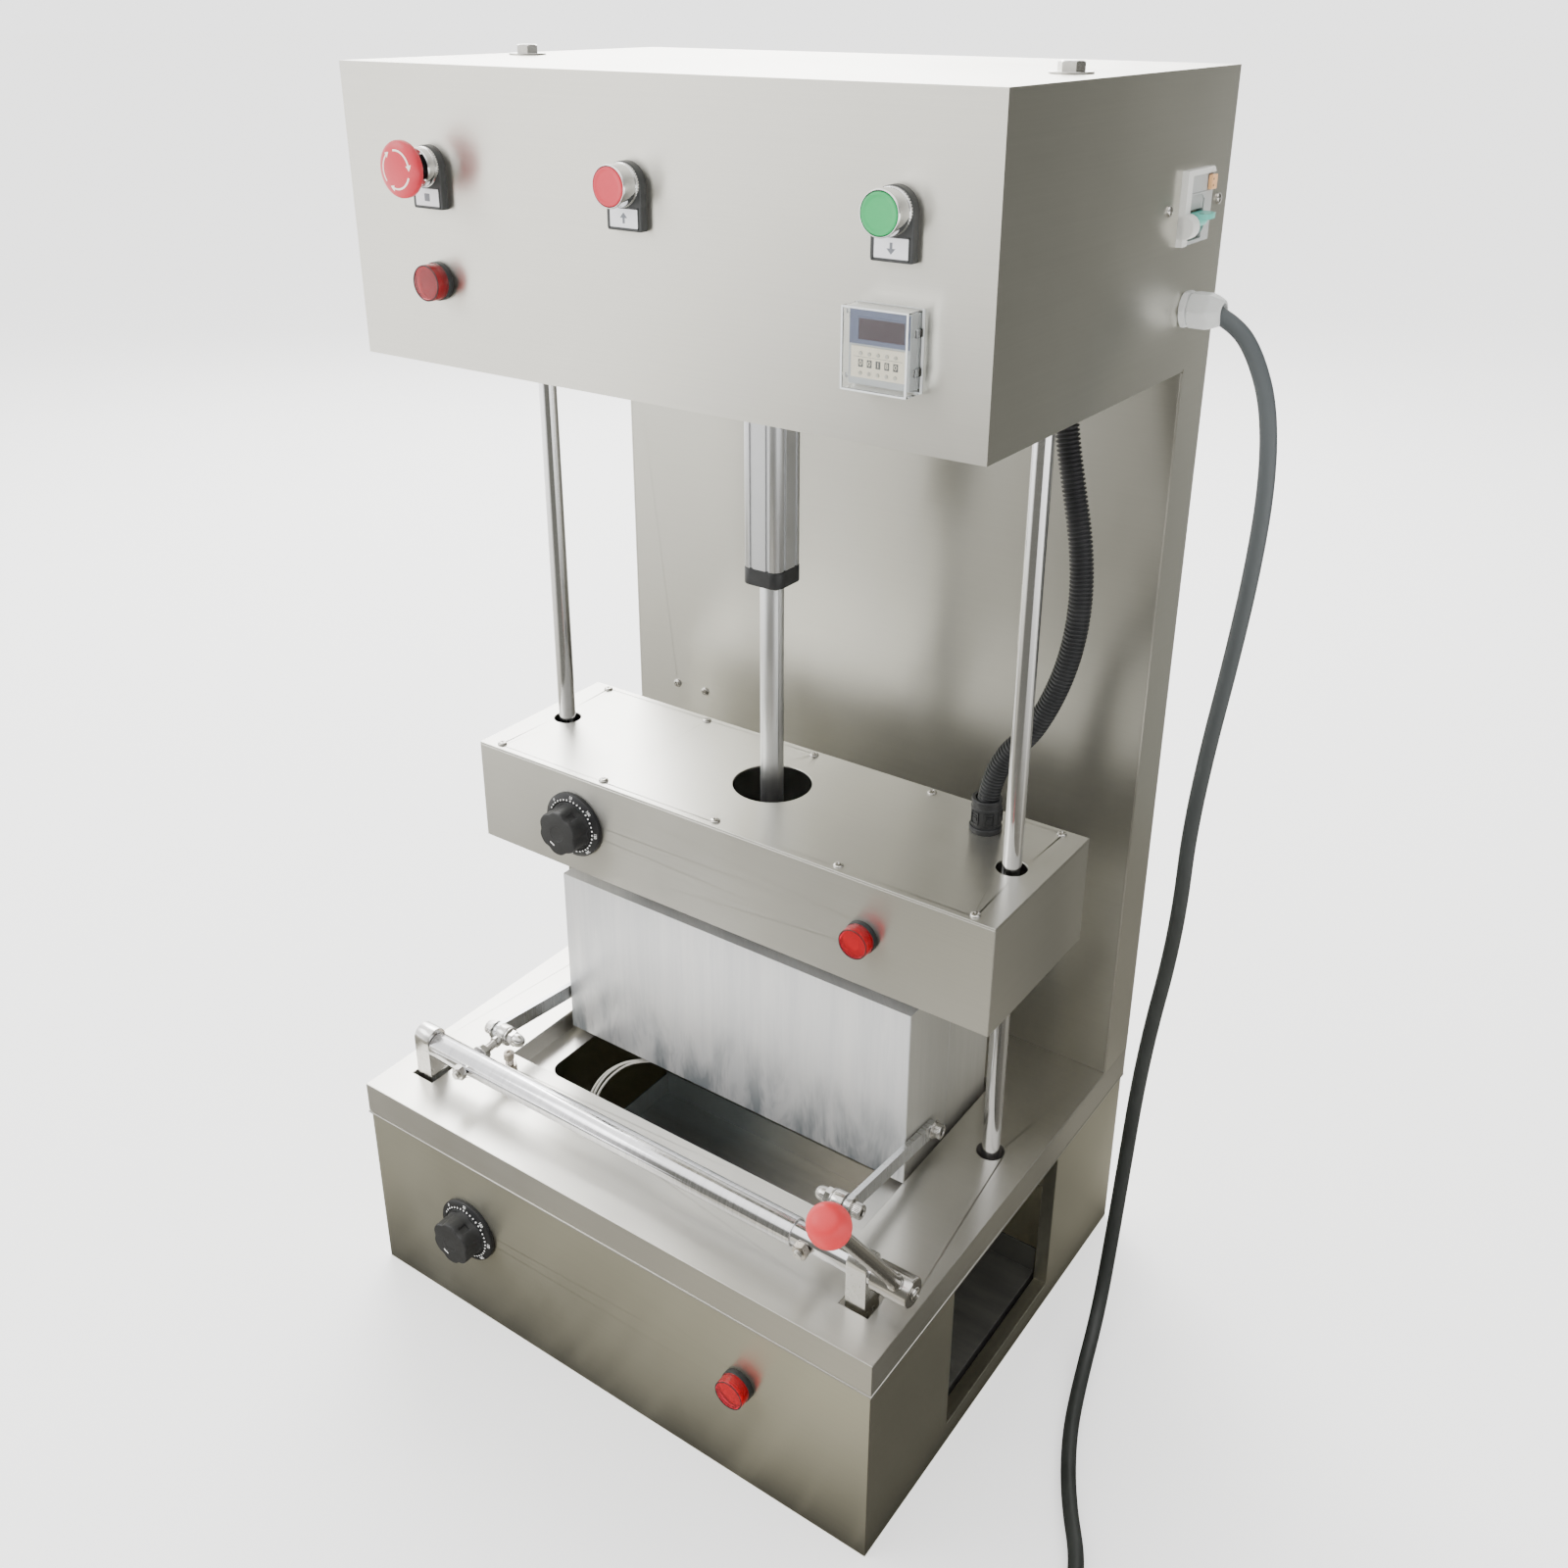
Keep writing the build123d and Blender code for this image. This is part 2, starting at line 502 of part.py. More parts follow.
# ================================================================ carriage
cz0, cz1 = carriage_z0, carriage_z1
screw_x = (-251.0, -125.5, 0.0, 125.5, 251.0)
screw_y = (180.0, 330.5)
hose_x, hose_y = 193.4, 302.7
with BuildPart() as carriage_box:
    slab(-carriage_x, carriage_x, Y(carriage_y0), Y(carriage_y1), cz0, cz1 - 2)
    slab(-carriage_x + sheet, carriage_x - sheet, Y(carriage_y0 + sheet), Y(carriage_y1 - sheet),
         cz0 + sheet, cz1, Mode.SUBTRACT)
    slab(-271, 271, Y(173.5), Y(187.5), cz1 - 3.5, cz1 - 2)
    slab(-271, 271, Y(323.5), Y(337.5), cz1 - 3.5, cz1 - 2)
    slab(-271, -259, Y(187.5), Y(323.5), cz1 - 3.5, cz1 - 2)
    slab(259, 271, Y(187.5), Y(323.5), cz1 - 3.5, cz1 - 2)
    for x in cone_x:
        bar((x, Y(mould_seam), cz0 - 1), UP, 29, 4, Mode.SUBTRACT)
    for x in (-rod_x, rod_x):
        bar((x, Y(rod_y), cz0 - 1), UP, 12.5, 4, Mode.SUBTRACT)
    for x in screw_x:
        for y in screw_y:
            bar((x, Y(y), cz1 - 5), UP, 1.95, 5, Mode.SUBTRACT)
    bar((155, Y(171), 452), IN, 11, 4, Mode.SUBTRACT)
    bar((-156, Y(171), 453.6), IN, 5, 4, Mode.SUBTRACT)
carriage_box.part.label = "carriage_box"
export_step(carriage_box.part, "parts/carriage_box.step")

with BuildPart() as carriage_cover:
    slab(-carriage_x, carriage_x, Y(carriage_y0), Y(carriage_y1), cz1 - 2, cz1)
    for x in (-rod_x, rod_x):
        bar((x, Y(rod_y), cz1 - 3), UP, 13, 4, Mode.SUBTRACT)
    bar((0, Y(264), cz1 - 3), UP, 35.5, 4, Mode.SUBTRACT)
    bar((hose_x, Y(hose_y), cz1 - 3), UP, 10.2, 4, Mode.SUBTRACT)
    for x in screw_x:
        for y in screw_y:
            bar((x, Y(y), cz1 - 3), UP, 1.95, 4, Mode.SUBTRACT)
carriage_cover.part.label = "carriage_cover"
export_step(carriage_cover.part, "parts/carriage_cover.step")

with BuildPart() as carriage_screws:
    for x in screw_x:
        for y in screw_y:
            pan_screw((x, Y(y), cz1), UP)
    # nuts that hold the cones, and the pin through the actuator rod
    for x in cone_x:
        hexagon((x, Y(mould_seam), 417), UP, 32, 12, bore=11.0)
    bar((-22, Y(act_y), 436), RIGHT, 3, 44)
carriage_screws.part.label = "carriage_screws"
export_step(carriage_screws.part, "parts/carriage_screws.step")

# thick plate inside the carriage: carries the cones, the bearings and the rod end
with BuildPart() as cone_plate:
    slab(-268, 268, Y(215), Y(305), 405, 417)
    slab(-20, 20, Y(act_y - 20), Y(act_y + 20), 417, 445)
    bar((0, Y(act_y), 425), UP, 10.3, 30, Mode.SUBTRACT)
    for x in (-rod_x, rod_x):
        bar((x, Y(rod_y), 404), UP, 14, 14, Mode.SUBTRACT)
    for x in cone_x:
        bar((x, Y(mould_seam), 404), UP, 11, 14, Mode.SUBTRACT)
    bar((-22, Y(act_y), 436), RIGHT, 3, 44, Mode.SUBTRACT)
cone_plate.part.label = "cone_plate"
export_step(cone_plate.part, "parts/cone_plate.step")

with BuildPart() as linear_bearings:
    for x in (-rod_x, rod_x):
        bar((x, Y(rod_y), 405), UP, 14, 37)
        bar((x, Y(rod_y), 404), UP, rod_r + 0.05, 40, Mode.SUBTRACT)
linear_bearings.part.label = "linear_bearings"
export_step(linear_bearings.part, "parts/linear_bearings.step")

with BuildPart() as one_cone:
    with BuildSketch(Plane.XZ):
        with BuildLine():
            Polyline((6.3, 250), (6.3, 436), (11, 436), (11, 405), (27, 405), (27, 400), (8.4, 240))
            Spline((8.4, 240), (6.0, 234.2), (0, 231.5), tangents=((-0.12, -1), (-1, 0)))
            Polyline((0, 231.5), (0, 250), (6.3, 250))
        make_face()
    revolve(axis=Axis.Z, revolution_arc=360)

with BuildPart() as cone_mandrels:
    with Locations(*[(x, Y(mould_seam), 0) for x in cone_x]):
        add(one_cone.part)
cone_mandrels.part.label = "cone_mandrels"
export_step(cone_mandrels.part, "parts/cone_mandrels.step")

with BuildPart() as cone_heaters:
    for x in cone_x:
        bar((x, Y(mould_seam), 252), UP, 6.25, 192)
cone_heaters.part.label = "cone_heaters"
export_step(cone_heaters.part, "parts/cone_heaters.step")

# sliding half of the linear actuator
with BuildPart() as actuator_rod:
    bar((0, Y(act_y), 425), UP, 10.3, 337)
    bar((0, Y(act_y), 520), UP, 6.5, 250, Mode.SUBTRACT)
    bar((-22, Y(act_y), 436), RIGHT, 3, 44, Mode.SUBTRACT)
actuator_rod.part.label = "actuator_rod"
export_step(actuator_rod.part, "parts/actuator_rod.step")


def thermostat(x, y_face, z):
    """Thermostat behind a panel, with its round dial plate in front."""
    bar((x, Y(y_face), z), OUT, 31.5, 2.4)
    bar((x, Y(y_face + 1), z), OUT, 4.9, 12)
    slab(x - 20, x + 20, Y(y_face + 1.6), Y(y_face + 30), z - 17, z + 17)
    bar((x, Y(y_face + 2), z), OUT, 4.9, 4)


def knob(x, y_face, z):
    """Knob with six finger scallops, and a round skirt over the dial."""
    with BuildSketch(Plane(origin=(x, Y(y_face - 6.5), z), z_dir=OUT)) as grip:
        Circle(22.3)
        with PolarLocations(27.5, 6):
            Circle(8.2, mode=Mode.SUBTRACT)
    extrude(grip.sketch, amount=18.5)
    bar((x, Y(y_face - 2.8), z), OUT, 23.5, 3.7)
    bar((x, Y(y_face), z), OUT, 5.0, 11.6, Mode.SUBTRACT)


with BuildPart() as carriage_thermostat:
    thermostat(-156, 172, 453.6)
carriage_thermostat.part.label = "carriage_thermostat"
export_step(carriage_thermostat.part, "parts/carriage_thermostat.step")

with BuildPart() as base_thermostat:
    thermostat(-157, 1.6, 103)
base_thermostat.part.label = "base_thermostat"
export_step(base_thermostat.part, "parts/base_thermostat.step")

with BuildPart() as carriage_knob:
    knob(-156, 172, 453.6)
carriage_knob.part.label = "carriage_knob"
export_step(carriage_knob.part, "parts/carriage_knob.step")

with BuildPart() as base_knob:
    knob(-157, 1.6, 103)
base_knob.part.label = "base_knob"
export_step(base_knob.part, "parts/base_knob.step")


def pilot_lamp(x, y_face, z):
    """Lamp: black collar and body, and the lens on top as a second solid."""
    bar((x, Y(y_face), z), OUT, 14.4, 5.0)
    bar((x, Y(y_face - 1), z), IN, 11, 37)


def lens(x, y_face, z):
    bar((x, Y(y_face - 5.0), z), OUT, 13.6, 10.2)


with BuildPart() as lamp_collars:
    pilot_lamp(-190.6, 98, 948)
    pilot_lamp(154, 1.6, 111)
with BuildPart() as lamp_lenses:
    lens(-190.6, 98, 948)
    lens(154, 1.6, 111)
lamp_set = group(lamp_collars, lamp_lenses)
lamp_set.label = "pilot_lamps"
export_step(lamp_set, "parts/pilot_lamps.step")

with BuildPart() as carriage_lamp_collar:
    pilot_lamp(155, 172, 452)

with BuildPart() as carriage_lamp_lens:
    lens(155, 172, 452)
carriage_lamp = group(carriage_lamp_collar, carriage_lamp_lens)
carriage_lamp.label = "carriage_lamp"
export_step(carriage_lamp, "parts/carriage_lamp.step")

# corrugated conduit between the carriage and the head
with BuildPart() as hose_connector:
    bar((hose_x, Y(hose_y), cz1), UP, 14.0, 5)
    bar((hose_x, Y(hose_y), cz1 + 5), UP, 12.8, 25.5)
    bar((hose_x, Y(hose_y), cz1 - 14), UP, 10.0, 14)
    hexagon((hose_x, Y(hose_y), cz1 - 8), UP, 26, 6)
    bar((hose_x, Y(hose_y), cz1 + 12), UP, 9.8, 30, Mode.SUBTRACT)
    bar((hose_x, Y(hose_y), cz1 - 20), UP, 7.0, 40, Mode.SUBTRACT)
hose_connector.part.label = "hose_connector"
export_step(hose_connector.part, "parts/hose_connector.step")

hose_pts = [(193.4, 302.7, 516), (194.0, 302.7, 540), (206.5, 302.8, 577), (229.0, 303.2, 603), (246.5, 303.8, 642),
            (257.0, 304.6, 681), (260.6, 305.6, 723), (256.5, 306.8, 766), (246.0, 308.0, 809),
            (236.0, 309.0, 850), (229.0, 310.0, 892)]


hose_route = [(x, Y(y), z) for x, y, z in hose_pts]
with BuildPart() as corrugated_hose:
    with BuildLine():
        hose_line = FilletPolyline(*hose_route, radius=turn_radii(hose_route, "hose"))
    with BuildSketch(Plane(origin=hose_line @ 0, z_dir=hose_line % 0)):
        Circle(9.2)
    sweep()
print("hose length", hose_line.length, "volume ratio",
      corrugated_hose.part.volume / (math.pi * 9.2 ** 2 * hose_line.length))
corrugated_hose.part.label = "corrugated_hose"
export_step(corrugated_hose.part, "parts/corrugated_hose.step")

# ================================================================ controls on the head
label_t = 6.5          # thickness of the black label holders
button_at = ((-190.0, 1031.0), (0.0, 1031.0), (210.5, 1030.0))
with BuildPart() as label_plates:
    for x, z in button_at:
        with BuildSketch(Plane(origin=(x, Y(98), z), z_dir=OUT)):
            Circle(15.2)
            with Locations((0, -15)):
                Rectangle(30.4, 30)
            Circle(11.05, mode=Mode.SUBTRACT)
        extrude(amount=label_t)
label_plates.part.label = "label_plates"
export_step(label_plates.part, "parts/label_plates.step")

with BuildPart() as button_collars:
    for (x, z), out in zip(button_at, (9.5, 15.0, 15.0)):
        with BuildSketch(Plane(origin=(x, Y(98 - label_t), z), z_dir=OUT)):
            Circle(14.3)
            Circle(11.9, mode=Mode.SUBTRACT)
        extrude(amount=out)
        with BuildSketch(Plane(origin=(x, Y(98 - label_t), z), z_dir=OUT)):
            Circle(12.0)
            Circle(9.0, mode=Mode.SUBTRACT)
        extrude(amount=1.5)
        with BuildSketch(Plane(origin=(x, Y(118), z), z_dir=OUT)):
            Circle(11.0)
            Circle(9.0, mode=Mode.SUBTRACT)
        extrude(amount=20 + label_t)
        hexagon((x, Y(99.5), z), IN, 28, 4, bore=11.0)
button_collars.part.label = "button_collars"
export_step(button_collars.part, "parts/button_collars.step")


def button(x, z):
    """Round button cap on a short plunger."""
    bar((x, Y(98 - 11.8), z), OUT, 11.5, 10.2)
    bar((x, Y(98 + 8), z), OUT, 8.7, 20)


with BuildPart() as rise_button:
    button(0, 1031)
rise_button.part.label = "rise_button"
export_step(rise_button.part, "parts/rise_button.step")

with BuildPart() as down_button:
    button(210.5, 1030)
down_button.part.label = "down_button"
export_step(down_button.part, "parts/down_button.step")

# the stem slides, and the mushroom cap turns on it to release
with BuildPart() as estop_stem:
    bar((-190, Y(98 + 8), 1031), OUT, 8.7, 29)
    bar((-190, Y(98 - 21), 1031), OUT, 5.0, 6)
estop_stem.part.label = "estop_stem"
export_step(estop_stem.part, "parts/estop_stem.step")

with BuildPart() as estop_button:
    with BuildSketch(Plane(origin=(-190, Y(98), 1031), x_dir=(1, 0, 0), z_dir=(0, 0, -1))):
        with BuildLine():
            Polyline((0, 27.4), (5.05, 27.4), (5.05, 21.3), (10.5, 21.3), (10.5, 23.3), (18.5, 25.2), (20.2, 27.0), (20.2, 29.4))
            Spline((20.2, 29.4), (15.5, 33.4), (0, 35.2), tangents=((-0.4, 1), (-1, 0)))
            Line((0, 35.2), (0, 27.4))
        make_face()
    revolve(axis=Axis(origin=(-190, Y(98), 1031), direction=OUT), revolution_arc=360)
estop_button.part.label = "estop_button"
export_step(estop_button.part, "parts/estop_button.step")

# ---------------------------------------------------------------- timer with hinged clear cover
with BuildPart() as timer_body:
    slab(186.2, 230.4, Y(84), Y(98), 925, 972)
    slab(187.8, 228.8, Y(97), Y(178), 927.5, 969.5)
    # raised preset keys above and below the thumbwheel windows
    for i in range(5):
        for z in (944.6, 927.6):
            slab(190.6 + 7.6 * i, 194.6 + 7.6 * i, Y(83.2), Y(84), z, z + 2.2)
timer_body.part.label = "timer_body"
export_step(timer_body.part, "parts/timer_body.step")

with BuildPart() as timer_frame:
    slab(184.3, 232.3, Y(92), Y(98), 922, 974)
    slab(186.0, 230.6, Y(91), Y(99), 924.8, 972.2, Mode.SUBTRACT)
    for z in (924.0, 964.0):
        slab(181.2, 184.4, Y(92.2), Y(96), z, z + 3)
        bar((182.6, Y(92), z), UP, 1.4, 3)
        bar((182.6, Y(92), z - 1), UP, 1.05, 5, Mode.SUBTRACT)
timer_frame.part.label = "timer_frame"
export_step(timer_frame.part, "parts/timer_frame.step")

with BuildPart() as timer_cover:
    slab(184.3, 232.3, Y(78), Y(91.7), 922, 974)
    slab(185.6, 231.0, Y(79.3), Y(92), 923.3, 972.7, Mode.SUBTRACT)
    for z in (927.3, 967.3):
        slab(181.5, 184.4, Y(88), Y(91.7), z, z + 3)
        bar((182.6, Y(92), z), UP, 1.6, 3)
        bar((182.6, Y(92), z - 3.3), UP, 1.0, 4)
    # latch hooks over the free edge
    for z in (934.0, 958.0):
        slab(232.3, 234.0, Y(86), Y(94.5), z, z + 5)
timer_cover.part.label = "timer_cover"
export_step(timer_cover.part, "parts/timer_cover.step")

# ---------------------------------------------------------------- mains breaker in the right side
with BuildPart() as breaker_body:
    slab(215, 278.4, Y(371.2), Y(424.8), 965, 1050)
    slab(278.4, 285, Y(371.2), Y(424.8), 981.2, 1033.8)
    with BuildSketch(Plane.XZ.offset(-Y(371.2))):
        with Locations((283.6, 995)):
            Circle(9)
    extrude(amount=-12)
    slab(277, 300, Y(383.2), Y(409.5), 983, 1016, Mode.SUBTRACT)
    slab(282, 286, Y(412.8), Y(423.0), 1017.5, 1028.5, Mode.SUBTRACT)
breaker_body.part.label = "breaker_body"
export_step(breaker_body.part, "parts/breaker_body.step")

with BuildPart() as breaker_toggle:
    bar((283, Y(383.6), 998), IN, 5.5, 25.5)
    slab(283, 296, Y(385), Y(408), 999.5, 1003.5)
breaker_toggle.part.label = "breaker_toggle"
export_step(breaker_toggle.part, "parts/breaker_toggle.step")

with BuildPart() as breaker_test_button:
    slab(283.8, 287.2, Y(413.1), Y(422.7), 1017.8, 1028.2)
breaker_test_button.part.label = "breaker_test_button"
export_step(breaker_test_button.part, "parts/breaker_test_button.step")

# ---------------------------------------------------------------- screws of the fixed frame
with BuildPart() as sheet_screws:
    for x in (-272, 272):
        for z in (240, 450, 660, 870, 1080):
            pan_screw((x, Y(465), z), IN, shank=3.0)
    for x in (-229.6, -193.3):
        pan_screw((x, Y(415), 485.5), OUT, head_r=4.6)
    for y in (352.4, 447.0):
        pan_screw((280, Y(y), 1008), RIGHT, head_r=4.2)
    for dx in (-13.2, 13.2):
        for dy in (-13.2, 13.2):
            bar((dx, Y(act_y) + dy, 695.2), UP, 2.6, 1.4)
frame_fixings = group(frame_bolts, sheet_screws)
frame_fixings.label = "frame_screws"
export_step(frame_fixings, "parts/frame_screws.step")

# ---------------------------------------------------------------- electrical gear inside
with BuildPart() as control_gear:
    # rail with two relays and a terminal row, on the rear cover
    slab(-225, -70, Y(446), Y(463.4), 943, 957)
    slab(-222, -178, Y(372), Y(446), 910, 990)
    slab(-174, -130, Y(372), Y(446), 910, 990)
    slab(-126, -76, Y(392), Y(446), 925, 975)
    # power supply on the floor of the head
    slab(-225, -80, Y(180), Y(280), 884.5, 926)
    # contact blocks behind the three buttons
    for x, z in button_at:
        slab(x - 14, x + 14, Y(118.2), Y(150), z - 20, z + 20)
        bar((x, Y(118.4), z), OUT, 5.0, 3.0)
    # terminal block for the heater leads, inside the base
    slab(-150, -90, Y(84), Y(112), 120, 140)
    slab(-126, -114, Y(112), Y(130), 128, 140)
control_gear.part.label = "control_gear"
export_step(control_gear.part, "parts/control_gear.step")

# ================================================================ mains lead
with BuildPart() as cable_gland:
    hexagon((280, Y(gland_y), gland_z), RIGHT, 25.5, 5.5)
    bar((285.5, Y(gland_y), gland_z), RIGHT, 11.6, 1.0)
    hexagon((286.5, Y(gland_y), gland_z), RIGHT, 25, 17)
    with Locations(Plane(origin=(303.5, Y(gland_y), gland_z), z_dir=RIGHT)):
        Cone(12.2, 9.2, 7.5, align=MIN3)
    bar((262, Y(gland_y), gland_z), RIGHT, 10, 18)
    hexagon((274.5, Y(gland_y), gland_z), RIGHT, 27, 4)
    bar((260, Y(gland_y), gland_z), RIGHT, 6.5, 40, Mode.SUBTRACT)
    bar((299, Y(gland_y), gland_z), RIGHT, 7.4, 14, Mode.SUBTRACT)
cable_gland.part.label = "cable_gland"
export_step(cable_gland.part, "parts/cable_gland.step")

# x, distance behind the base front, z
cord_pts = [(301.0, 402, 933.6), (321.0, 402, 926.4), (338.6, 402, 905.0), (353.6, 402, 868.0), (360.0, 402, 812.0),
            (358.0, 402, 742.0), (350.5, 402, 660.0), (341.5, 401, 580.0), (335.6, 400, 500.0),
            (336.6, 397.5, 432.0), (333.8, 394, 370.0), (327.6, 388, 305.0), (325.0, 379, 240.0),
            (326.4, 366, 170.0), (329.5, 347, 100.0), (337.0, 312, 34.0), (350.0, 247, 6.6),
            (366.0, 193, 6.6), (391.0, 139, 6.6), (425.0, 88, 6.6), (432.0, 46, 6.6), (424.5, 12, 6.6)]
cord_route = [(x, Y(y), z) for x, y, z in cord_pts]
tail_pts = [(449.5, -89, 19.6), (466.0, -107, 19.4), (488.0, -119, 19.0), (514.0, -122, 18.4)]
tail_route = [(x, Y(y), z) for x, y, z in tail_pts]
with BuildPart() as power_cord:
    for route, label in ((cord_route, "cord"), (tail_route, "tail")):
        with BuildLine() as line:
            path = FilletPolyline(*route, radius=turn_radii(route, label))
        with BuildSketch(Plane(origin=path @ 0, z_dir=path % 0)):
            Circle(cord_r)
        sweep(path=path)
        print(label, "length", round(path.length, 1))
        if label == "cord":
            cord_len = path.length
        else:
            tail_len = path.length
print("cord volume ratio", power_cord.part.volume / (math.pi * cord_r ** 2 * (cord_len + tail_len)))
power_cord.part.label = "power_cord"
export_step(power_cord.part, "parts/power_cord.step")

coil_x, coil_y, coil_r = 495.0, -20.0, 71.5
with BuildPart() as cord_coil:
    with BuildSketch(Plane.XZ.offset(-Y(coil_y))):
        with Locations((coil_x + coil_r, 13.1)):
            RectangleRounded(13.2, 26.2, 6.4)
    revolve(axis=Axis(origin=(coil_x, Y(coil_y), 0), direction=(0, 0, 1)), revolution_arc=360)
turns = 2.0 + 50.0 / 360.0
print("coil length", turns * 2 * math.pi * coil_r, "total", cord_len + tail_len + turns * 2 * math.pi * coil_r)
cord_coil.part.label = "cord_coil"
export_step(cord_coil.part, "parts/cord_coil.step")

with BuildPart() as cord_plug:
    py, pz = Y(-122), 18.4
    with BuildSketch(Plane.YZ.offset(514)):
        with Locations((py, pz)):
            Circle(7.4)
    with BuildSketch(Plane.YZ.offset(544)):
        with Locations((py, pz)):
            Circle(10.5)
    loft()
    with Locations(Plane(origin=(544, py, pz), z_dir=RIGHT)):
        Cone(13, 18, 8, align=MIN3)
    bar((552, py, pz), RIGHT, 18.2, 22)
    bar((574, py - 9.5, pz), RIGHT, 2.4, 19)
    bar((574, py + 9.5, pz), RIGHT, 2.4, 19)
cord_plug.part.label = "cord_plug"
export_step(cord_plug.part, "parts/cord_plug.step")

print(len(os.listdir("parts")), "parts")
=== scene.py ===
import math
import bpy
import bmesh
from mathutils import Matrix, Vector


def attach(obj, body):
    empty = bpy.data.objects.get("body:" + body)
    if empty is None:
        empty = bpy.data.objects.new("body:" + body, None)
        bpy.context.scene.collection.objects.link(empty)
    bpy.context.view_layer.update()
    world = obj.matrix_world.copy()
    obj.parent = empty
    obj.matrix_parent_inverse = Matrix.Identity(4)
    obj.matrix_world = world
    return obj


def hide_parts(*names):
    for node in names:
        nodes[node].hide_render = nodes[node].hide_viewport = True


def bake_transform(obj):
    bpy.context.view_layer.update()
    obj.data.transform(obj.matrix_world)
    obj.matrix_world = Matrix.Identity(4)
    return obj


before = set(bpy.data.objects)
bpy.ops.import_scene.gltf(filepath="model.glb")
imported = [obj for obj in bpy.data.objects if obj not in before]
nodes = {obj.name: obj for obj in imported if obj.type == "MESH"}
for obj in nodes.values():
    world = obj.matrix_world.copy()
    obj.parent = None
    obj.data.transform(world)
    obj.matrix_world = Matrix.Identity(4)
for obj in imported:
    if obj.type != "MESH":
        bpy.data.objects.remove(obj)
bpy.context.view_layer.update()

scene = bpy.context.scene

MM = 0.001
FRONT = 232.5            # distance from the origin to the front of the base


def P(x, y, z):
    """A point in metres, from millimetres: x, distance behind the front of the base, z."""
    return Vector((x * MM, (y - FRONT) * MM, z * MM))


RIGHT, LEFT = Vector((1, 0, 0)), Vector((-1, 0, 0))
IN, OUT = Vector((0, 1, 0)), Vector((0, -1, 0))
UP, DOWN = Vector((0, 0, 1)), Vector((0, 0, -1))


# ================================================================ camera
cam_data = bpy.data.cameras.new("photo_camera")
cam_data.sensor_fit = 'HORIZONTAL'
cam_data.sensor_width = 36.0
cam_data.lens = 1560.05 / 1600 * 36.0
cam_data.shift_x = (800 - 797.24) / 1600
cam_data.shift_y = (689.26 - 800) / 1600
cam_data.clip_start = 0.02
cam_data.clip_end = 1500
camera = bpy.data.objects.new("photo_camera", cam_data)
scene.collection.objects.link(camera)
yaw, pitch, roll = math.radians(35.1229), math.radians(-24.1922), math.radians(0.1684)
look = Vector((-math.sin(yaw) * math.cos(pitch), math.cos(yaw) * math.cos(pitch), math.sin(pitch)))
side = Vector((math.cos(yaw), math.sin(yaw), 0))
top = side.cross(look)
side_r = side * math.cos(roll) + top * math.sin(roll)
top_r = side_r.cross(look)
rot = Matrix((side_r, top_r, -look)).transposed()
camera.matrix_world = Matrix.Translation((0.70001, -0.95028, 1.15063)) @ rot.to_4x4()
scene.camera = camera


# ================================================================ mesh tools
def axes_of(axis):
    """Two directions u, v so that u, v, axis are right-handed; u is +x where that can be."""
    a = Vector(axis).normalized()
    u = Vector((1, 0, 0)) if abs(a.x) < 0.9 else Vector((0, 1, 0)) * (1 if a.x > 0 else -1)
    u = (u - a * u.dot(a)).normalized()
    return u, a.cross(u), a


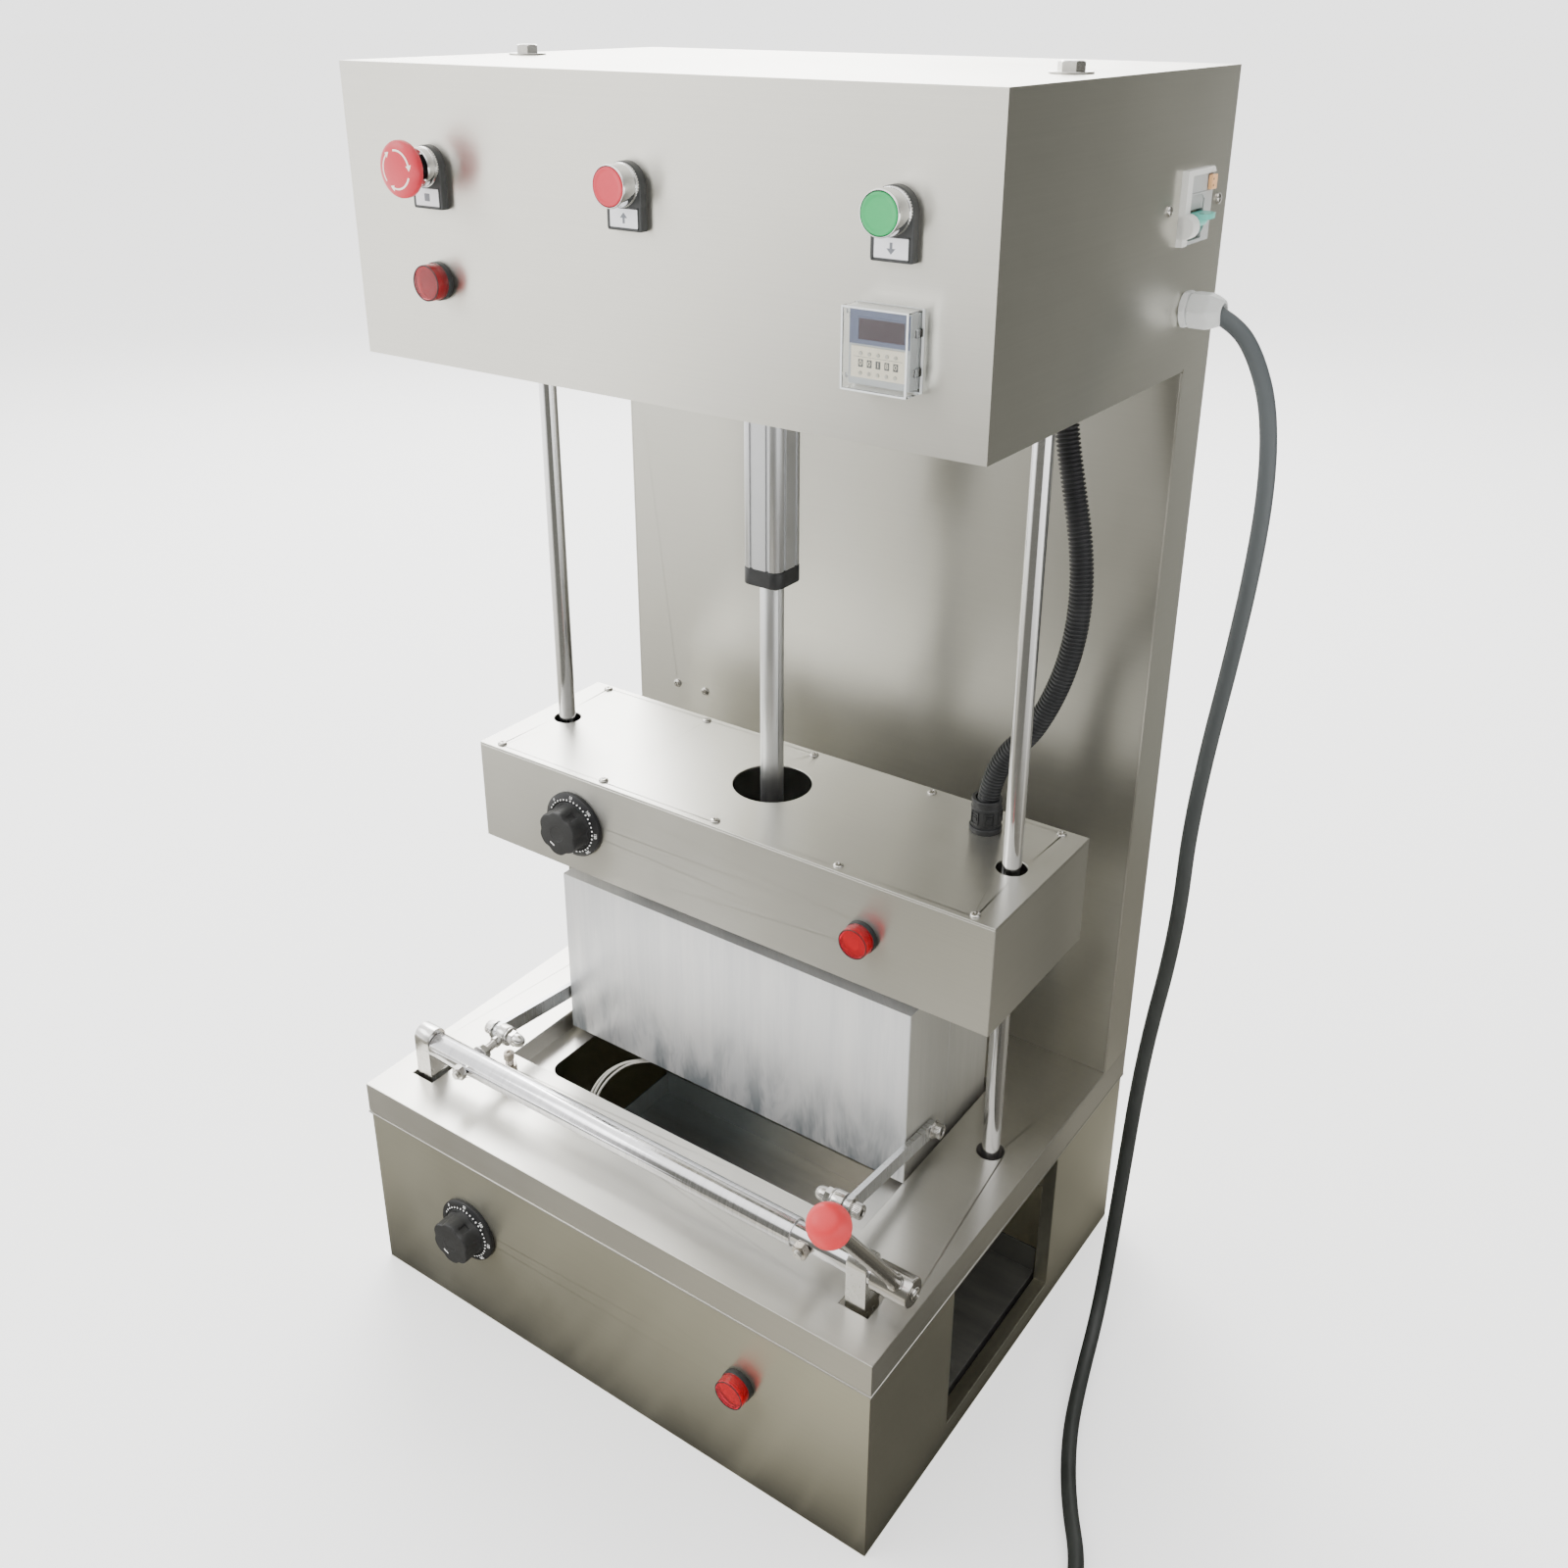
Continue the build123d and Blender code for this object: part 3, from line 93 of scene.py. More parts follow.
class Build:
    """Collects the faces of one piece, in metres."""

    def __init__(self):
        self.v, self.f, self.m = [], [], []

    def add(self, verts, faces, mat=0, matrix=None):
        base = len(self.v)
        for p in verts:
            p = Vector(p)
            self.v.append(matrix @ p if matrix is not None else p)
        for i, f in enumerate(faces):
            self.f.append(tuple(base + k for k in f))
            self.m.append(mat[i] if isinstance(mat, list) else mat)

    def polar(self, profile, origin, axis, seg=48, mat=0, closed=False, phase=0.0, caps=True):
        """Rings round an axis. profile: (r, h) in mm, r a number or a function of the angle. closed joins the last ring to the first."""
        u, v, a = axes_of(axis)
        origin = Vector(origin)
        verts, faces, mats, rings = [], [], [], []
        for r, h in profile:
            if not callable(r) and abs(r) < 1e-6:
                rings.append([len(verts)])
                verts.append(origin + a * h * MM)
                continue
            ring = []
            for i in range(seg):
                t = 2 * math.pi * i / seg + phase
                rr = (r(t) if callable(r) else r) * MM
                ring.append(len(verts))
                verts.append(origin + u * rr * math.cos(t) + v * rr * math.sin(t) + a * h * MM)
            rings.append(ring)
        pairs = list(zip(rings, rings[1:]))
        if closed:
            pairs.append((rings[-1], rings[0]))
        for k, (p, q) in enumerate(pairs):
            m = mat[k] if isinstance(mat, (list, tuple)) else mat
            for i in range(seg):
                j = (i + 1) % seg
                if len(p) == 1 and len(q) == 1:
                    continue
                if len(p) == 1:
                    faces.append((p[0], q[j], q[i]))
                elif len(q) == 1:
                    faces.append((p[i], p[j], q[0]))
                else:
                    faces.append((p[i], p[j], q[j], q[i]))
                mats.append(m)
        if caps and not closed:
            for ring, flip in ((rings[0], True), (rings[-1], False)):
                if len(ring) > 1:
                    faces.append(tuple(reversed(ring)) if flip else tuple(ring))
                    mats.append(mat[0] if isinstance(mat, (list, tuple)) else mat)
        self.add(verts, faces, mats)

    def prism(self, outline, origin, u, v, depth, mat=0):
        """A flat outline (mm along u and v), pushed out along u cross v by depth mm."""
        u, v = Vector(u).normalized(), Vector(v).normalized()
        w = u.cross(v)
        origin = Vector(origin)
        n = len(outline)
        low = [origin + u * p[0] * MM + v * p[1] * MM for p in outline]
        high = [p + w * depth * MM for p in low]
        faces = [tuple(reversed(range(n))), tuple(range(n, 2 * n))]
        faces += [(i, (i + 1) % n, n + (i + 1) % n, n + i) for i in range(n)]
        self.add(low + high, faces, mat)

    def block(self, x0, x1, y0, y1, z0, z1, mat=0):
        """A box: x, distance behind the base front, z, in mm."""
        a, b = P(x0, y0, z0), P(x1, y1, z1)
        vs = [(x, y, z) for x in (a.x, b.x) for y in (a.y, b.y) for z in (a.z, b.z)]
        fs = [(0, 1, 3, 2), (4, 6, 7, 5), (0, 4, 5, 1), (2, 3, 7, 6), (0, 2, 6, 4), (1, 5, 7, 3)]
        self.add(vs, fs, mat)

    def hexagon(self, origin, axis, flats, h, bore=0.0, low=True, high=True, mat=0, phase=0.0, seg=48):
        """A hexagon nut or bolt head with turned chamfers."""
        corner = flats / 2 / math.cos(math.pi / 6)
        face = flats / 2 * 0.955
        rise = (corner - face) * math.tan(math.radians(30))

        def at(limit):
            def r(t):
                d = ((t - phase) % (math.pi / 3)) - math.pi / 6
                return min(flats / 2 / math.cos(d), limit)
            return r

        rings = []
        if bore:
            rings.append((bore, 0))
        if low:
            for k in range(5):
                rings.append((at(face + (corner - face) * k / 4 + 1e-6), rise * k / 4))
        else:
            rings.append((at(corner), 0))
        if high:
            for k in range(4, -1, -1):
                rings.append((at(face + (corner - face) * k / 4 + 1e-6), h - rise * k / 4))
        else:
            rings.append((at(corner), h))
        if bore:
            rings.append((bore, h))
        self.polar(rings, origin, axis, seg=seg, mat=mat, closed=bool(bore), phase=phase)

    def stud(self, origin, axis, r, length, pitch=1.0, mat=0, seg=24, tip=0.8):
        """A threaded stud: fine crests and roots, with a chamfered end."""
        rings, h = [(r * 0.86, 0)], 0.0
        while h < length - tip - pitch:
            rings += [(r * 0.87, h + 0.05 * pitch), (r, h + 0.45 * pitch), (r, h + 0.6 * pitch)]
            h += pitch
        rings += [(r * 0.9, length - tip), (r * 0.72, length)]
        self.polar(rings, origin, axis, seg=seg, mat=mat)

    def make(self, name, mats, body, slot, replaces=(), bevel=0.0, angle=32, segments=2):
        mesh = bpy.data.meshes.new(name)
        mesh.from_pydata([tuple(p) for p in self.v], [], self.f)
        for m in mats:
            mesh.materials.append(m)
        mesh.polygons.foreach_set("material_index", self.m)
        bm = bmesh.new()
        bm.from_mesh(mesh)
        bmesh.ops.recalc_face_normals(bm, faces=bm.faces)
        bm.to_mesh(mesh)
        bm.free()
        mesh.shade_smooth()
        mesh.set_sharp_from_angle(angle=math.radians(angle))
        obj = bpy.data.objects.new(name, mesh)
        scene.collection.objects.link(obj)
        if bevel:
            add_bevel(obj, bevel, segments)
        if body:
            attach(obj, body)
        if replaces:
            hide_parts(*replaces)
        return obj


def add_bevel(obj, width, segments=2, weld=False, angle=35):
    if weld:
        w = obj.modifiers.new("weld", 'WELD')
        w.merge_threshold = 0.00002
    b = obj.modifiers.new("edges", 'BEVEL')
    b.width = width * MM
    b.segments = segments
    b.limit_method = 'ANGLE'
    b.angle_limit = math.radians(angle)
    b.harden_normals = True
    b.use_clamp_overlap = True
    return b


def evaluated(obj):
    """The verts and faces of an object with its modifiers."""
    bpy.context.view_layer.update()
    deps = bpy.context.evaluated_depsgraph_get()
    mesh = bpy.data.meshes.new_from_object(obj.evaluated_get(deps))
    vs = [v.co.copy() for v in mesh.vertices]
    fs = [tuple(p.vertices) for p in mesh.polygons]
    bpy.data.meshes.remove(mesh)
    return vs, fs


def drop(obj):
    data = obj.data
    bpy.data.objects.remove(obj)
    if isinstance(data, bpy.types.Mesh):
        bpy.data.meshes.remove(data)
    else:
        bpy.data.curves.remove(data)


def loose(build):
    """A scratch object from a Build, for a boolean."""
    mesh = bpy.data.meshes.new("scratch")
    mesh.from_pydata([tuple(p) for p in build.v], [], build.f)
    bm = bmesh.new()
    bm.from_mesh(mesh)
    bmesh.ops.recalc_face_normals(bm, faces=bm.faces)
    bm.to_mesh(mesh)
    bm.free()
    obj = bpy.data.objects.new("scratch", mesh)
    scene.collection.objects.link(obj)
    return obj


def carve(base, *cutters):
    """(verts, faces) of base less the cutters."""
    body = loose(base)
    tools = [loose(c) for c in cutters]
    for t in tools:
        b = body.modifiers.new("cut", 'BOOLEAN')
        b.operation = 'DIFFERENCE'
        b.solver = 'EXACT'
        b.object = t
    out = evaluated(body)
    for o in [body] + tools:
        drop(o)
    return out


def placed(origin, axis):
    """A matrix that takes the local z axis to axis at origin."""
    u, v, a = axes_of(axis)
    return Matrix.Translation(Vector(origin)) @ Matrix((u, v, a)).transposed().to_4x4()


def letters(text, size, thick=0.05):
    """(verts, faces) of plain figures, in metres, in the xy plane, centred."""
    cu = bpy.data.curves.new("figures", 'FONT')
    cu.body = text
    cu.size = size * MM
    cu.align_x, cu.align_y = 'CENTER', 'CENTER'
    cu.extrude = thick * MM
    cu.resolution_u = 3
    obj = bpy.data.objects.new("figures", cu)
    scene.collection.objects.link(obj)
    out = evaluated(obj)
    drop(obj)
    return out


def rounded(w, h, r, cx=0.0, cy=0.0, n=5):
    """Outline of a rectangle with round corners, counter-clockwise."""
    pts = []
    for sx, sy, a0 in ((1, 1, 0), (-1, 1, 90), (-1, -1, 180), (1, -1, 270)):
        for k in range(n + 1):
            t = math.radians(a0 + 90 * k / n)
            pts.append((cx + sx * (w / 2 - r) + r * math.cos(t), cy + sy * (h / 2 - r) + r * math.sin(t)))
    return pts


# ================================================================ materials
def rgb(r, g, b):
    return (r, g, b, 1.0)


class Mat:
    """One procedural material."""

    def __init__(self, name, **values):
        self.mat = bpy.data.materials.new(name)
        self.mat.use_nodes = True
        self.nt = self.mat.node_tree
        self.nt.nodes.clear()
        self.out = self.nt.nodes.new('ShaderNodeOutputMaterial')
        self.bsdf = self.nt.nodes.new('ShaderNodeBsdfPrincipled')
        self.nt.links.new(self.bsdf.outputs['BSDF'], self.out.inputs['Surface'])
        for k, v in values.items():
            self.bsdf.inputs[k.replace('_', ' ')].default_value = v
        self.tc = self.nt.nodes.new('ShaderNodeTexCoord')

    def node(self, kind, **inputs):
        n = self.nt.nodes.new(kind)
        for k, v in inputs.items():
            n.inputs[k.replace('_', ' ')].default_value = v
        return n

    def link(self, a, b):
        self.nt.links.new(a, b)

    def mapped(self, scale, loc=(0, 0, 0), rot=(0, 0, 0), source=None):
        m = self.node('ShaderNodeMapping', Scale=scale, Location=loc, Rotation=rot)
        self.link(source if source is not None else self.tc.outputs['Object'], m.inputs['Vector'])
        return m.outputs['Vector']

    def noise(self, vector, scale=1.0, detail=2.0, rough=0.5, distortion=0.0):
        n = self.node('ShaderNodeTexNoise', Scale=scale, Detail=detail, Roughness=rough, Distortion=distortion)
        self.link(vector, n.inputs['Vector'])
        return n.outputs['Fac']

    def ramp(self, fac, lo, hi, a, b):
        m = self.node('ShaderNodeMapRange')
        m.clamp = True
        m.inputs['From Min'].default_value, m.inputs['From Max'].default_value = lo, hi
        m.inputs['To Min'].default_value, m.inputs['To Max'].default_value = a, b
        self.link(fac, m.inputs['Value'])
        return m.outputs['Result']

    def math(self, op, a, b=None):
        m = self.node('ShaderNodeMath')
        m.operation = op
        for i, v in enumerate((a, b)):
            if v is None:
                continue
            if isinstance(v, (int, float)):
                m.inputs[i].default_value = v
            else:
                self.link(v, m.inputs[i])
        return m.outputs[0]

    def mix(self, fac, a, b, kind='RGBA', blend='MIX'):
        m = self.nt.nodes.new('ShaderNodeMix')
        m.data_type = kind
        if kind == 'RGBA':
            m.blend_type = blend
        ins = {'RGBA': (6, 7), 'FLOAT': (2, 3), 'VECTOR': (4, 5)}[kind]
        outs = {'RGBA': 2, 'FLOAT': 0, 'VECTOR': 1}[kind]
        if isinstance(fac, (int, float)):
            m.inputs[0].default_value = fac
        else:
            self.link(fac, m.inputs[0])
        for i, v in zip(ins, (a, b)):
            if hasattr(v, 'links') or hasattr(v, 'is_linked'):
                self.link(v, m.inputs[i])
            else:
                m.inputs[i].default_value = v
        return m.outputs[outs]

    def bump(self, height, strength=0.2, distance=0.0002, normal=None):
        b = self.node('ShaderNodeBump', Strength=strength, Distance=distance)
        self.link(height, b.inputs['Height'])
        if normal is not None:
            self.link(normal, b.inputs['Normal'])
        return b.outputs['Normal']

    def set(self, name, value):
        self.link(value, self.bsdf.inputs[name])


def flat_faces(m):
    """1 on faces that look up or down, 0 on upright faces."""
    g = m.node('ShaderNodeNewGeometry')
    s = m.node('ShaderNodeSeparateXYZ')
    m.link(g.outputs['True Normal'], s.inputs[0])
    return m.math('GREATER_THAN', m.math('ABSOLUTE', s.outputs['Z']), 0.7)


def brushed(name, base, rough=0.33, seed=0.0, aniso=0.82, streak=0.052, warm=None):
    """Brushed stainless sheet: the grain runs level on upright faces and left to right on flat ones."""
    m = Mat(name, Metallic=1.0, Anisotropic=aniso, Base_Color=rgb(*base), Roughness=rough)
    flat = flat_faces(m)
    shift = (seed, seed * 1.7, seed * 0.6)

    def grain(fine, long, detail):
        up = m.mapped((long, long, fine), shift)
        down = m.mapped((long, fine, long), shift)
        return m.noise(m.mix(flat, up, down, 'VECTOR'), 1.0, detail, 0.6)

    hair = grain(1500.0, 9.0, 3.0)
    band = grain(520.0, 2.2, 3.0)
    cloud = m.noise(m.mapped((3.2, 3.2, 3.2), shift), 1.0, 3.0, 0.55)
    smear = m.noise(m.mapped((9.0, 9.0, 5.0), shift, (0.3, 0.2, 0.5)), 1.0, 4.0, 0.6, 0.6)
    tone = m.math('ADD', m.ramp(hair, 0.3, 0.7, -streak, streak), m.ramp(band, 0.3, 0.7, -streak * 0.6, streak * 0.6))
    tone = m.math('ADD', tone, m.ramp(cloud, 0.3, 0.7, -0.02, 0.02))
    dark = tuple(c * 0.84 for c in base)
    light = tuple(min(1.0, c * 1.12) for c in base)
    if warm:
        dark = warm
    col = m.mix(m.math('ADD', tone, 0.5), rgb(*dark), rgb(*light))
    m.set('Base Color', col)
    r = m.math('ADD', m.ramp(hair, 0.3, 0.7, rough - 0.008, rough + 0.010), m.ramp(smear, 0.42, 0.66, 0.0, 0.035))
    r = m.math('ADD', r, m.ramp(cloud, 0.3, 0.7, -0.006, 0.014))
    m.set('Roughness', r)
    m.set('Normal', m.bump(hair, 0.005, 0.00005, m.bump(cloud, 0.05, 0.004)))
    t = m.node('ShaderNodeCombineXYZ', X=0.0, Y=0.03, Z=1.0)
    m.link(t.outputs[0], m.bsdf.inputs['Tangent'])
    return m.mat


def turned(name, base, rough, along='Z', fine=900.0, streak=0.04, spots=0.0):
    """Ground or drawn round bar: fine lines, a little soft tone along the length."""
    m = Mat(name, Metallic=1.0, Base_Color=rgb(*base), Roughness=rough)
    long = {'X': (4.0, fine, fine), 'Y': (fine, 4.0, fine), 'Z': (fine, fine, 4.0)}[along]
    ring = {'X': (fine, 6.0, 6.0), 'Y': (6.0, fine, 6.0), 'Z': (6.0, 6.0, fine)}[along]
    a = m.noise(m.mapped(long), 1.0, 2.0, 0.6)
    b = m.noise(m.mapped(ring), 1.0, 3.0, 0.6)
    c = m.noise(m.mapped((14, 14, 14)), 1.0, 3.0, 0.6)
    tone = m.math('ADD', m.ramp(b, 0.3, 0.7, -streak, streak), m.ramp(c, 0.3, 0.7, -streak, streak))
    col = m.mix(m.math('ADD', tone, 0.5), rgb(*[v * 0.8 for v in base]), rgb(*[min(1, v * 1.1) for v in base]))
    m.set('Base Color', col)
    m.set('Roughness', m.math('ADD', m.ramp(b, 0.3, 0.7, rough * 0.8, rough * 1.25), m.ramp(c, 0.45, 0.7, 0.0, 0.05 + spots)))
    m.set('Normal', m.bump(a, 0.03, 0.0001, m.bump(b, 0.04, 0.0001)))
    return m.mat


def sleeve_bar():
    """Sleeve turned on a lathe: fine rings round it break a long highlight into short lines."""
    m = Mat("turned_sleeve", Metallic=1.0, Base_Color=rgb(0.84, 0.84, 0.86), Roughness=0.15)
    a = m.noise(m.mapped((640, 2, 2)), 1.0, 1.0, 0.5)
    b = m.noise(m.mapped((210, 5, 5)), 1.0, 3.0, 0.6)
    c = m.noise(m.mapped((9, 30, 30)), 1.0, 3.0, 0.6)
    col = m.mix(m.ramp(a, 0.3, 0.7, 0.0, 1.0), rgb(0.72, 0.72, 0.74), rgb(0.90, 0.90, 0.92))
    m.set('Base Color', m.mix(m.ramp(c, 0.4, 0.75, 0.0, 0.35), col, rgb(0.60, 0.60, 0.61)))
    m.set('Roughness', m.math('ADD', m.ramp(b, 0.3, 0.7, 0.12, 0.20), m.ramp(c, 0.4, 0.7, 0.0, 0.05)))
    m.set('Normal', m.bump(a, 0.55, 0.00006, m.bump(b, 0.06, 0.0001)))
    return m.mat


def plated(name, base=(0.78, 0.77, 0.75), rough=0.16, wear=0.5):
    """Bright plated hardware, a little uneven."""
    m = Mat(name, Metallic=1.0, Base_Color=rgb(*base), Roughness=rough)
    a = m.noise(m.mapped((260, 260, 260)), 1.0, 4.0, 0.65)
    b = m.noise(m.mapped((60, 60, 60)), 1.0, 3.0, 0.6)
    col = m.mix(m.ramp(b, 0.35, 0.7, 0.0, wear), rgb(*base), rgb(base[0] * 0.72, base[1] * 0.69, base[2] * 0.64))
    m.set('Base Color', col)
    m.set('Roughness', m.math('ADD', m.ramp(a, 0.3, 0.7, rough * 0.75, rough * 1.4), m.ramp(b, 0.4, 0.7, 0.0, 0.06)))
    m.set('Normal', m.bump(a, 0.08, 0.00015, m.bump(b, 0.08, 0.0006)))
    return m.mat


def plastic(name, base, rough=0.38, grain=0.5, coat=0.0, dust=0.06, scale=900.0, spec=0.5):
    """Moulded plastic: fine mould texture, soft tone changes and dust."""
    m = Mat(name, Base_Color=rgb(*base), Roughness=rough, IOR=1.49, Specular_IOR_Level=spec, Coat_Weight=coat, Coat_Roughness=0.12)
    a = m.noise(m.mapped((scale, scale, scale)), 1.0, 3.0, 0.6)
    b = m.noise(m.mapped((55, 55, 55)), 1.0, 4.0, 0.6)
    c = m.noise(m.mapped((420, 420, 420)), 1.0, 2.0, 0.5)
    up = m.ramp(b, 0.45, 0.75, 0.0, dust)
    pale = tuple(min(1.0, v + 0.30) for v in base)
    col = m.mix(up, rgb(*base), rgb(*pale))
    col = m.mix(m.ramp(c, 0.3, 0.7, 0.0, 0.10), col, rgb(*[v * 0.75 for v in base]))
    m.set('Base Color', col)
    m.set('Roughness', m.math('ADD', m.ramp(a, 0.3, 0.7, rough - 0.05, rough + 0.07), m.ramp(b, 0.4, 0.7, 0.0, 0.05)))
    m.set('Normal', m.bump(a, 0.10 * grain, 0.0001, m.bump(b, 0.05, 0.0006)))
    return m.mat


def milled():
    """Face-milled aluminium: upright bands from each pass, and fine slanting arcs of the cutter in them."""
    m = Mat("milled_block", Metallic=0.55, Base_Color=rgb(0.88, 0.89, 0.90), Roughness=0.42, Anisotropic=0.3)
    obj = m.tc.outputs['Object']
    sep = m.node('ShaderNodeSeparateXYZ')
    m.link(obj, sep.inputs[0])
    # position across the face: x on the front, y on the ends
    across = m.math('ADD', sep.outputs['X'], m.math('MULTIPLY', sep.outputs['Y'], 0.93))
    wob = m.noise(m.mapped((5, 5, 9)), 1.0, 2.0, 0.5)
    across = m.math('ADD', across, m.math('MULTIPLY', wob, 0.0035))
    line = m.node('ShaderNodeCombineXYZ')
    m.link(across, line.inputs[0])
    m.link(m.math('MULTIPLY', sep.outputs['Z'], 0.05), line.inputs[2])
    wide = m.noise(m.mapped((34, 34, 34), source=line.outputs[0]), 1.0, 2.0, 0.5)
    thin = m.noise(m.mapped((150, 150, 150), source=line.outputs[0]), 1.0, 3.0, 0.7)
    # slanting cutter marks, strong only in some passes
    slant = m.math('ADD', m.math('MULTIPLY', sep.outputs['Z'], 2600.0), m.math('MULTIPLY', across, 3400.0))
    bend = m.math('MULTIPLY', m.math('SINE', m.math('MULTIPLY', across, 260.0)), 5.0)
    marks = m.math('SINE', m.math('ADD', slant, bend))
    gate = m.ramp(thin, 0.52, 0.68, 0.0, 1.0)
    marks_g = m.math('MULTIPLY', marks, gate)
    # darker slanted streaks near the lower edge of the front and back faces
    low = m.ramp(sep.outputs['Z'], 0.203, 0.285, 1.0, 0.0)
    tilt = m.mapped((30, 30, 9), rot=(0.0, math.radians(24), 0.0))
    low_dark_streaks = m.noise(tilt, 1.0, 4.0, 0.62, 0.4)
    low_dark_streaks = m.math('MULTIPLY', m.ramp(low_dark_streaks, 0.44, 0.62, 0.0, 1.0), low)
    side = m.node('ShaderNodeNewGeometry')
    ns = m.node('ShaderNodeSeparateXYZ')
    m.link(side.outputs['True Normal'], ns.inputs[0])
    front = m.ramp(m.math('ABSOLUTE', ns.outputs['Y']), 0.4, 0.7, 0.0, 1.0)
    low_dark_streaks = m.math('MULTIPLY', low_dark_streaks, front)
    tone = m.math('ADD', m.ramp(wide, 0.3, 0.7, -0.15, 0.72), m.ramp(thin, 0.35, 0.72, -0.20, 0.42))
    tone = m.math('ADD', tone, m.math('MULTIPLY', marks_g, 0.24))
    # a few narrow bright passes, cut across by short slanted ticks
    passes = m.noise(m.mapped((62, 62, 62), (3.1, 0.0, 0.0), source=line.outputs[0]), 1.0, 2.0, 0.55)
    rim = m.ramp(m.math('ABSOLUTE', m.math('SUBTRACT', passes, 0.56)), 0.0, 0.016, 1.0, 0.0)
    tick = m.ramp(m.math('SINE', m.math('ADD', m.math('MULTIPLY', sep.outputs['Z'], 1700.0), m.math('MULTIPLY', across, 2300.0))), -0.1, 0.5, 0.25, 1.0)
    rim = m.math('MULTIPLY', rim, tick)
    col = m.mix(tone, rgb(0.86, 0.87, 0.885), rgb(1.0, 1.0, 1.0))
    col = m.mix(m.math('MULTIPLY', rim, 0.7), col, rgb(1.0, 1.0, 1.0))
    col = m.mix(m.math('MULTIPLY', low_dark_streaks, 0.80), col, rgb(0.20, 0.240, 0.27))
    # painted shade: faces that look left or right are darkened, for the block's shaded end
    ends = m.ramp(m.math('ABSOLUTE', ns.outputs['X']), 0.6, 0.8, 0.0, 0.86)
    col = m.mix(ends, col, rgb(0.34, 0.33, 0.28))
    m.set('Base Color', col)
    r = m.math('ADD', m.ramp(thin, 0.3, 0.7, 0.50, 0.38), m.math('MULTIPLY', marks_g, 0.05))
    m.set('Roughness', m.math('ADD', r, m.math('MULTIPLY', low_dark_streaks, 0.10)))
    n1 = m.bump(rim, 0.35, 0.00012, m.bump(marks_g, 0.22, 0.00005))
    n2 = m.bump(thin, 0.10, 0.0003, n1)
    m.set('Normal', n2)
    t = m.node('ShaderNodeCombineXYZ', X=1.0, Y=0.9, Z=0.05)
    m.link(t.outputs[0], m.bsdf.inputs['Tangent'])
    return m.mat


def tray_steel():
    """Matt stainless of the catch tray, grey on the left, with a painted pool of light towards the right, near-white
    and less metallic, and painted shade at the far right end.
    """
    m = Mat("steel_tray", Metallic=0.85, Base_Color=rgb(0.5, 0.48, 0.44), Roughness=0.48)
    sep = m.node('ShaderNodeSeparateXYZ')
    m.link(m.tc.outputs['Object'], sep.inputs[0])
    a = m.noise(m.mapped((9, 60, 9)), 1.0, 4.0, 0.6)
    b = m.noise(m.mapped((5, 5, 5)), 1.0, 4.0, 0.6, 0.5)
    along = m.math('ADD', sep.outputs['X'], m.math('MULTIPLY', m.math('SUBTRACT', b, 0.5), 0.10))
    # painted light: near-white and less metallic towards the right of the tray
    painted_light_pool = m.math('MULTIPLY', m.ramp(along, -0.090, 0.060, 0.0, 1.0), m.ramp(sep.outputs['X'], 0.155, 0.190, 1.0, 0.0))
    # painted shade: near black at the far right end, by the outlet
    steel_tone_and_shade = m.mix(m.ramp(sep.outputs['X'], 0.12, 0.20, 0.0, 1.0), rgb(0.56, 0.60, 0.60), rgb(0.13, 0.13, 0.12))
    col = m.mix(painted_light_pool, steel_tone_and_shade, rgb(0.95, 0.90, 0.78))
    m.set('Metallic', m.ramp(painted_light_pool, 0.0, 1.0, 0.85, 0.12))
    col = m.mix(m.ramp(a, 0.35, 0.7, 0.0, 0.22), col, rgb(0.34, 0.33, 0.29))
    m.set('Base Color', col)
    m.set('Roughness', m.math('ADD', m.ramp(a, 0.3, 0.7, 0.44, 0.54), m.ramp(b, 0.3, 0.7, -0.03, 0.04)))
    m.set('Normal', m.bump(a, 0.05, 0.0004))
    return m.mat


def rubber(name, base, rough=0.5, high=None):
    m = Mat(name, Base_Color=rgb(*base), Roughness=rough, IOR=1.5)
    a = m.noise(m.mapped((700, 700, 90)), 1.0, 3.0, 0.6)
    b = m.noise(m.mapped((16, 16, 9)), 1.0, 4.0, 0.6)
    col = m.mix(m.ramp(b, 0.3, 0.72, 0.0, 1.0), rgb(*base), rgb(*[min(1, v * 1.5 + 0.006) for v in base]))
    # painted light: the upper part is made lighter, as if lit from behind
    if high:
        sep = m.node('ShaderNodeSeparateXYZ')
        m.link(m.tc.outputs['Object'], sep.inputs[0])
        col = m.mix(m.ramp(sep.outputs['Z'], 0.40, 0.86, 0.0, 1.0), col, rgb(*high))
    m.set('Base Color', col)
    m.set('Roughness', m.math('ADD', m.ramp(a, 0.3, 0.7, rough - 0.06, rough + 0.06), m.ramp(b, 0.4, 0.7, 0.0, 0.08)))
    m.set('Normal', m.bump(a, 0.10, 0.0001, m.bump(b, 0.05, 0.0006)))
    return m.mat


def clear(name, tint=(0.98, 0.99, 0.99), rough=0.03, ior=1.16):
    m = Mat(name, Base_Color=rgb(*tint), Roughness=rough, IOR=ior, Transmission_Weight=1.0, Coat_Weight=0.6, Coat_Roughness=0.03)
    a = m.noise(m.mapped((130, 130, 130)), 1.0, 3.0, 0.6)
    m.set('Roughness', m.ramp(a, 0.35, 0.75, rough, rough + 0.05))
    m.set('Normal', m.bump(a, 0.03, 0.0004))
    return m.mat


def lens_red(name, base):
    m = Mat(name, Base_Color=rgb(*base), Roughness=0.08, IOR=1.42, Transmission_Weight=0.90)
    a = m.noise(m.mapped((200, 200, 200)), 1.0, 3.0, 0.6)
    m.set('Roughness', m.ramp(a, 0.35, 0.75, 0.05, 0.12))
    m.set('Normal', m.bump(a, 0.04, 0.0003))
    return m.mat
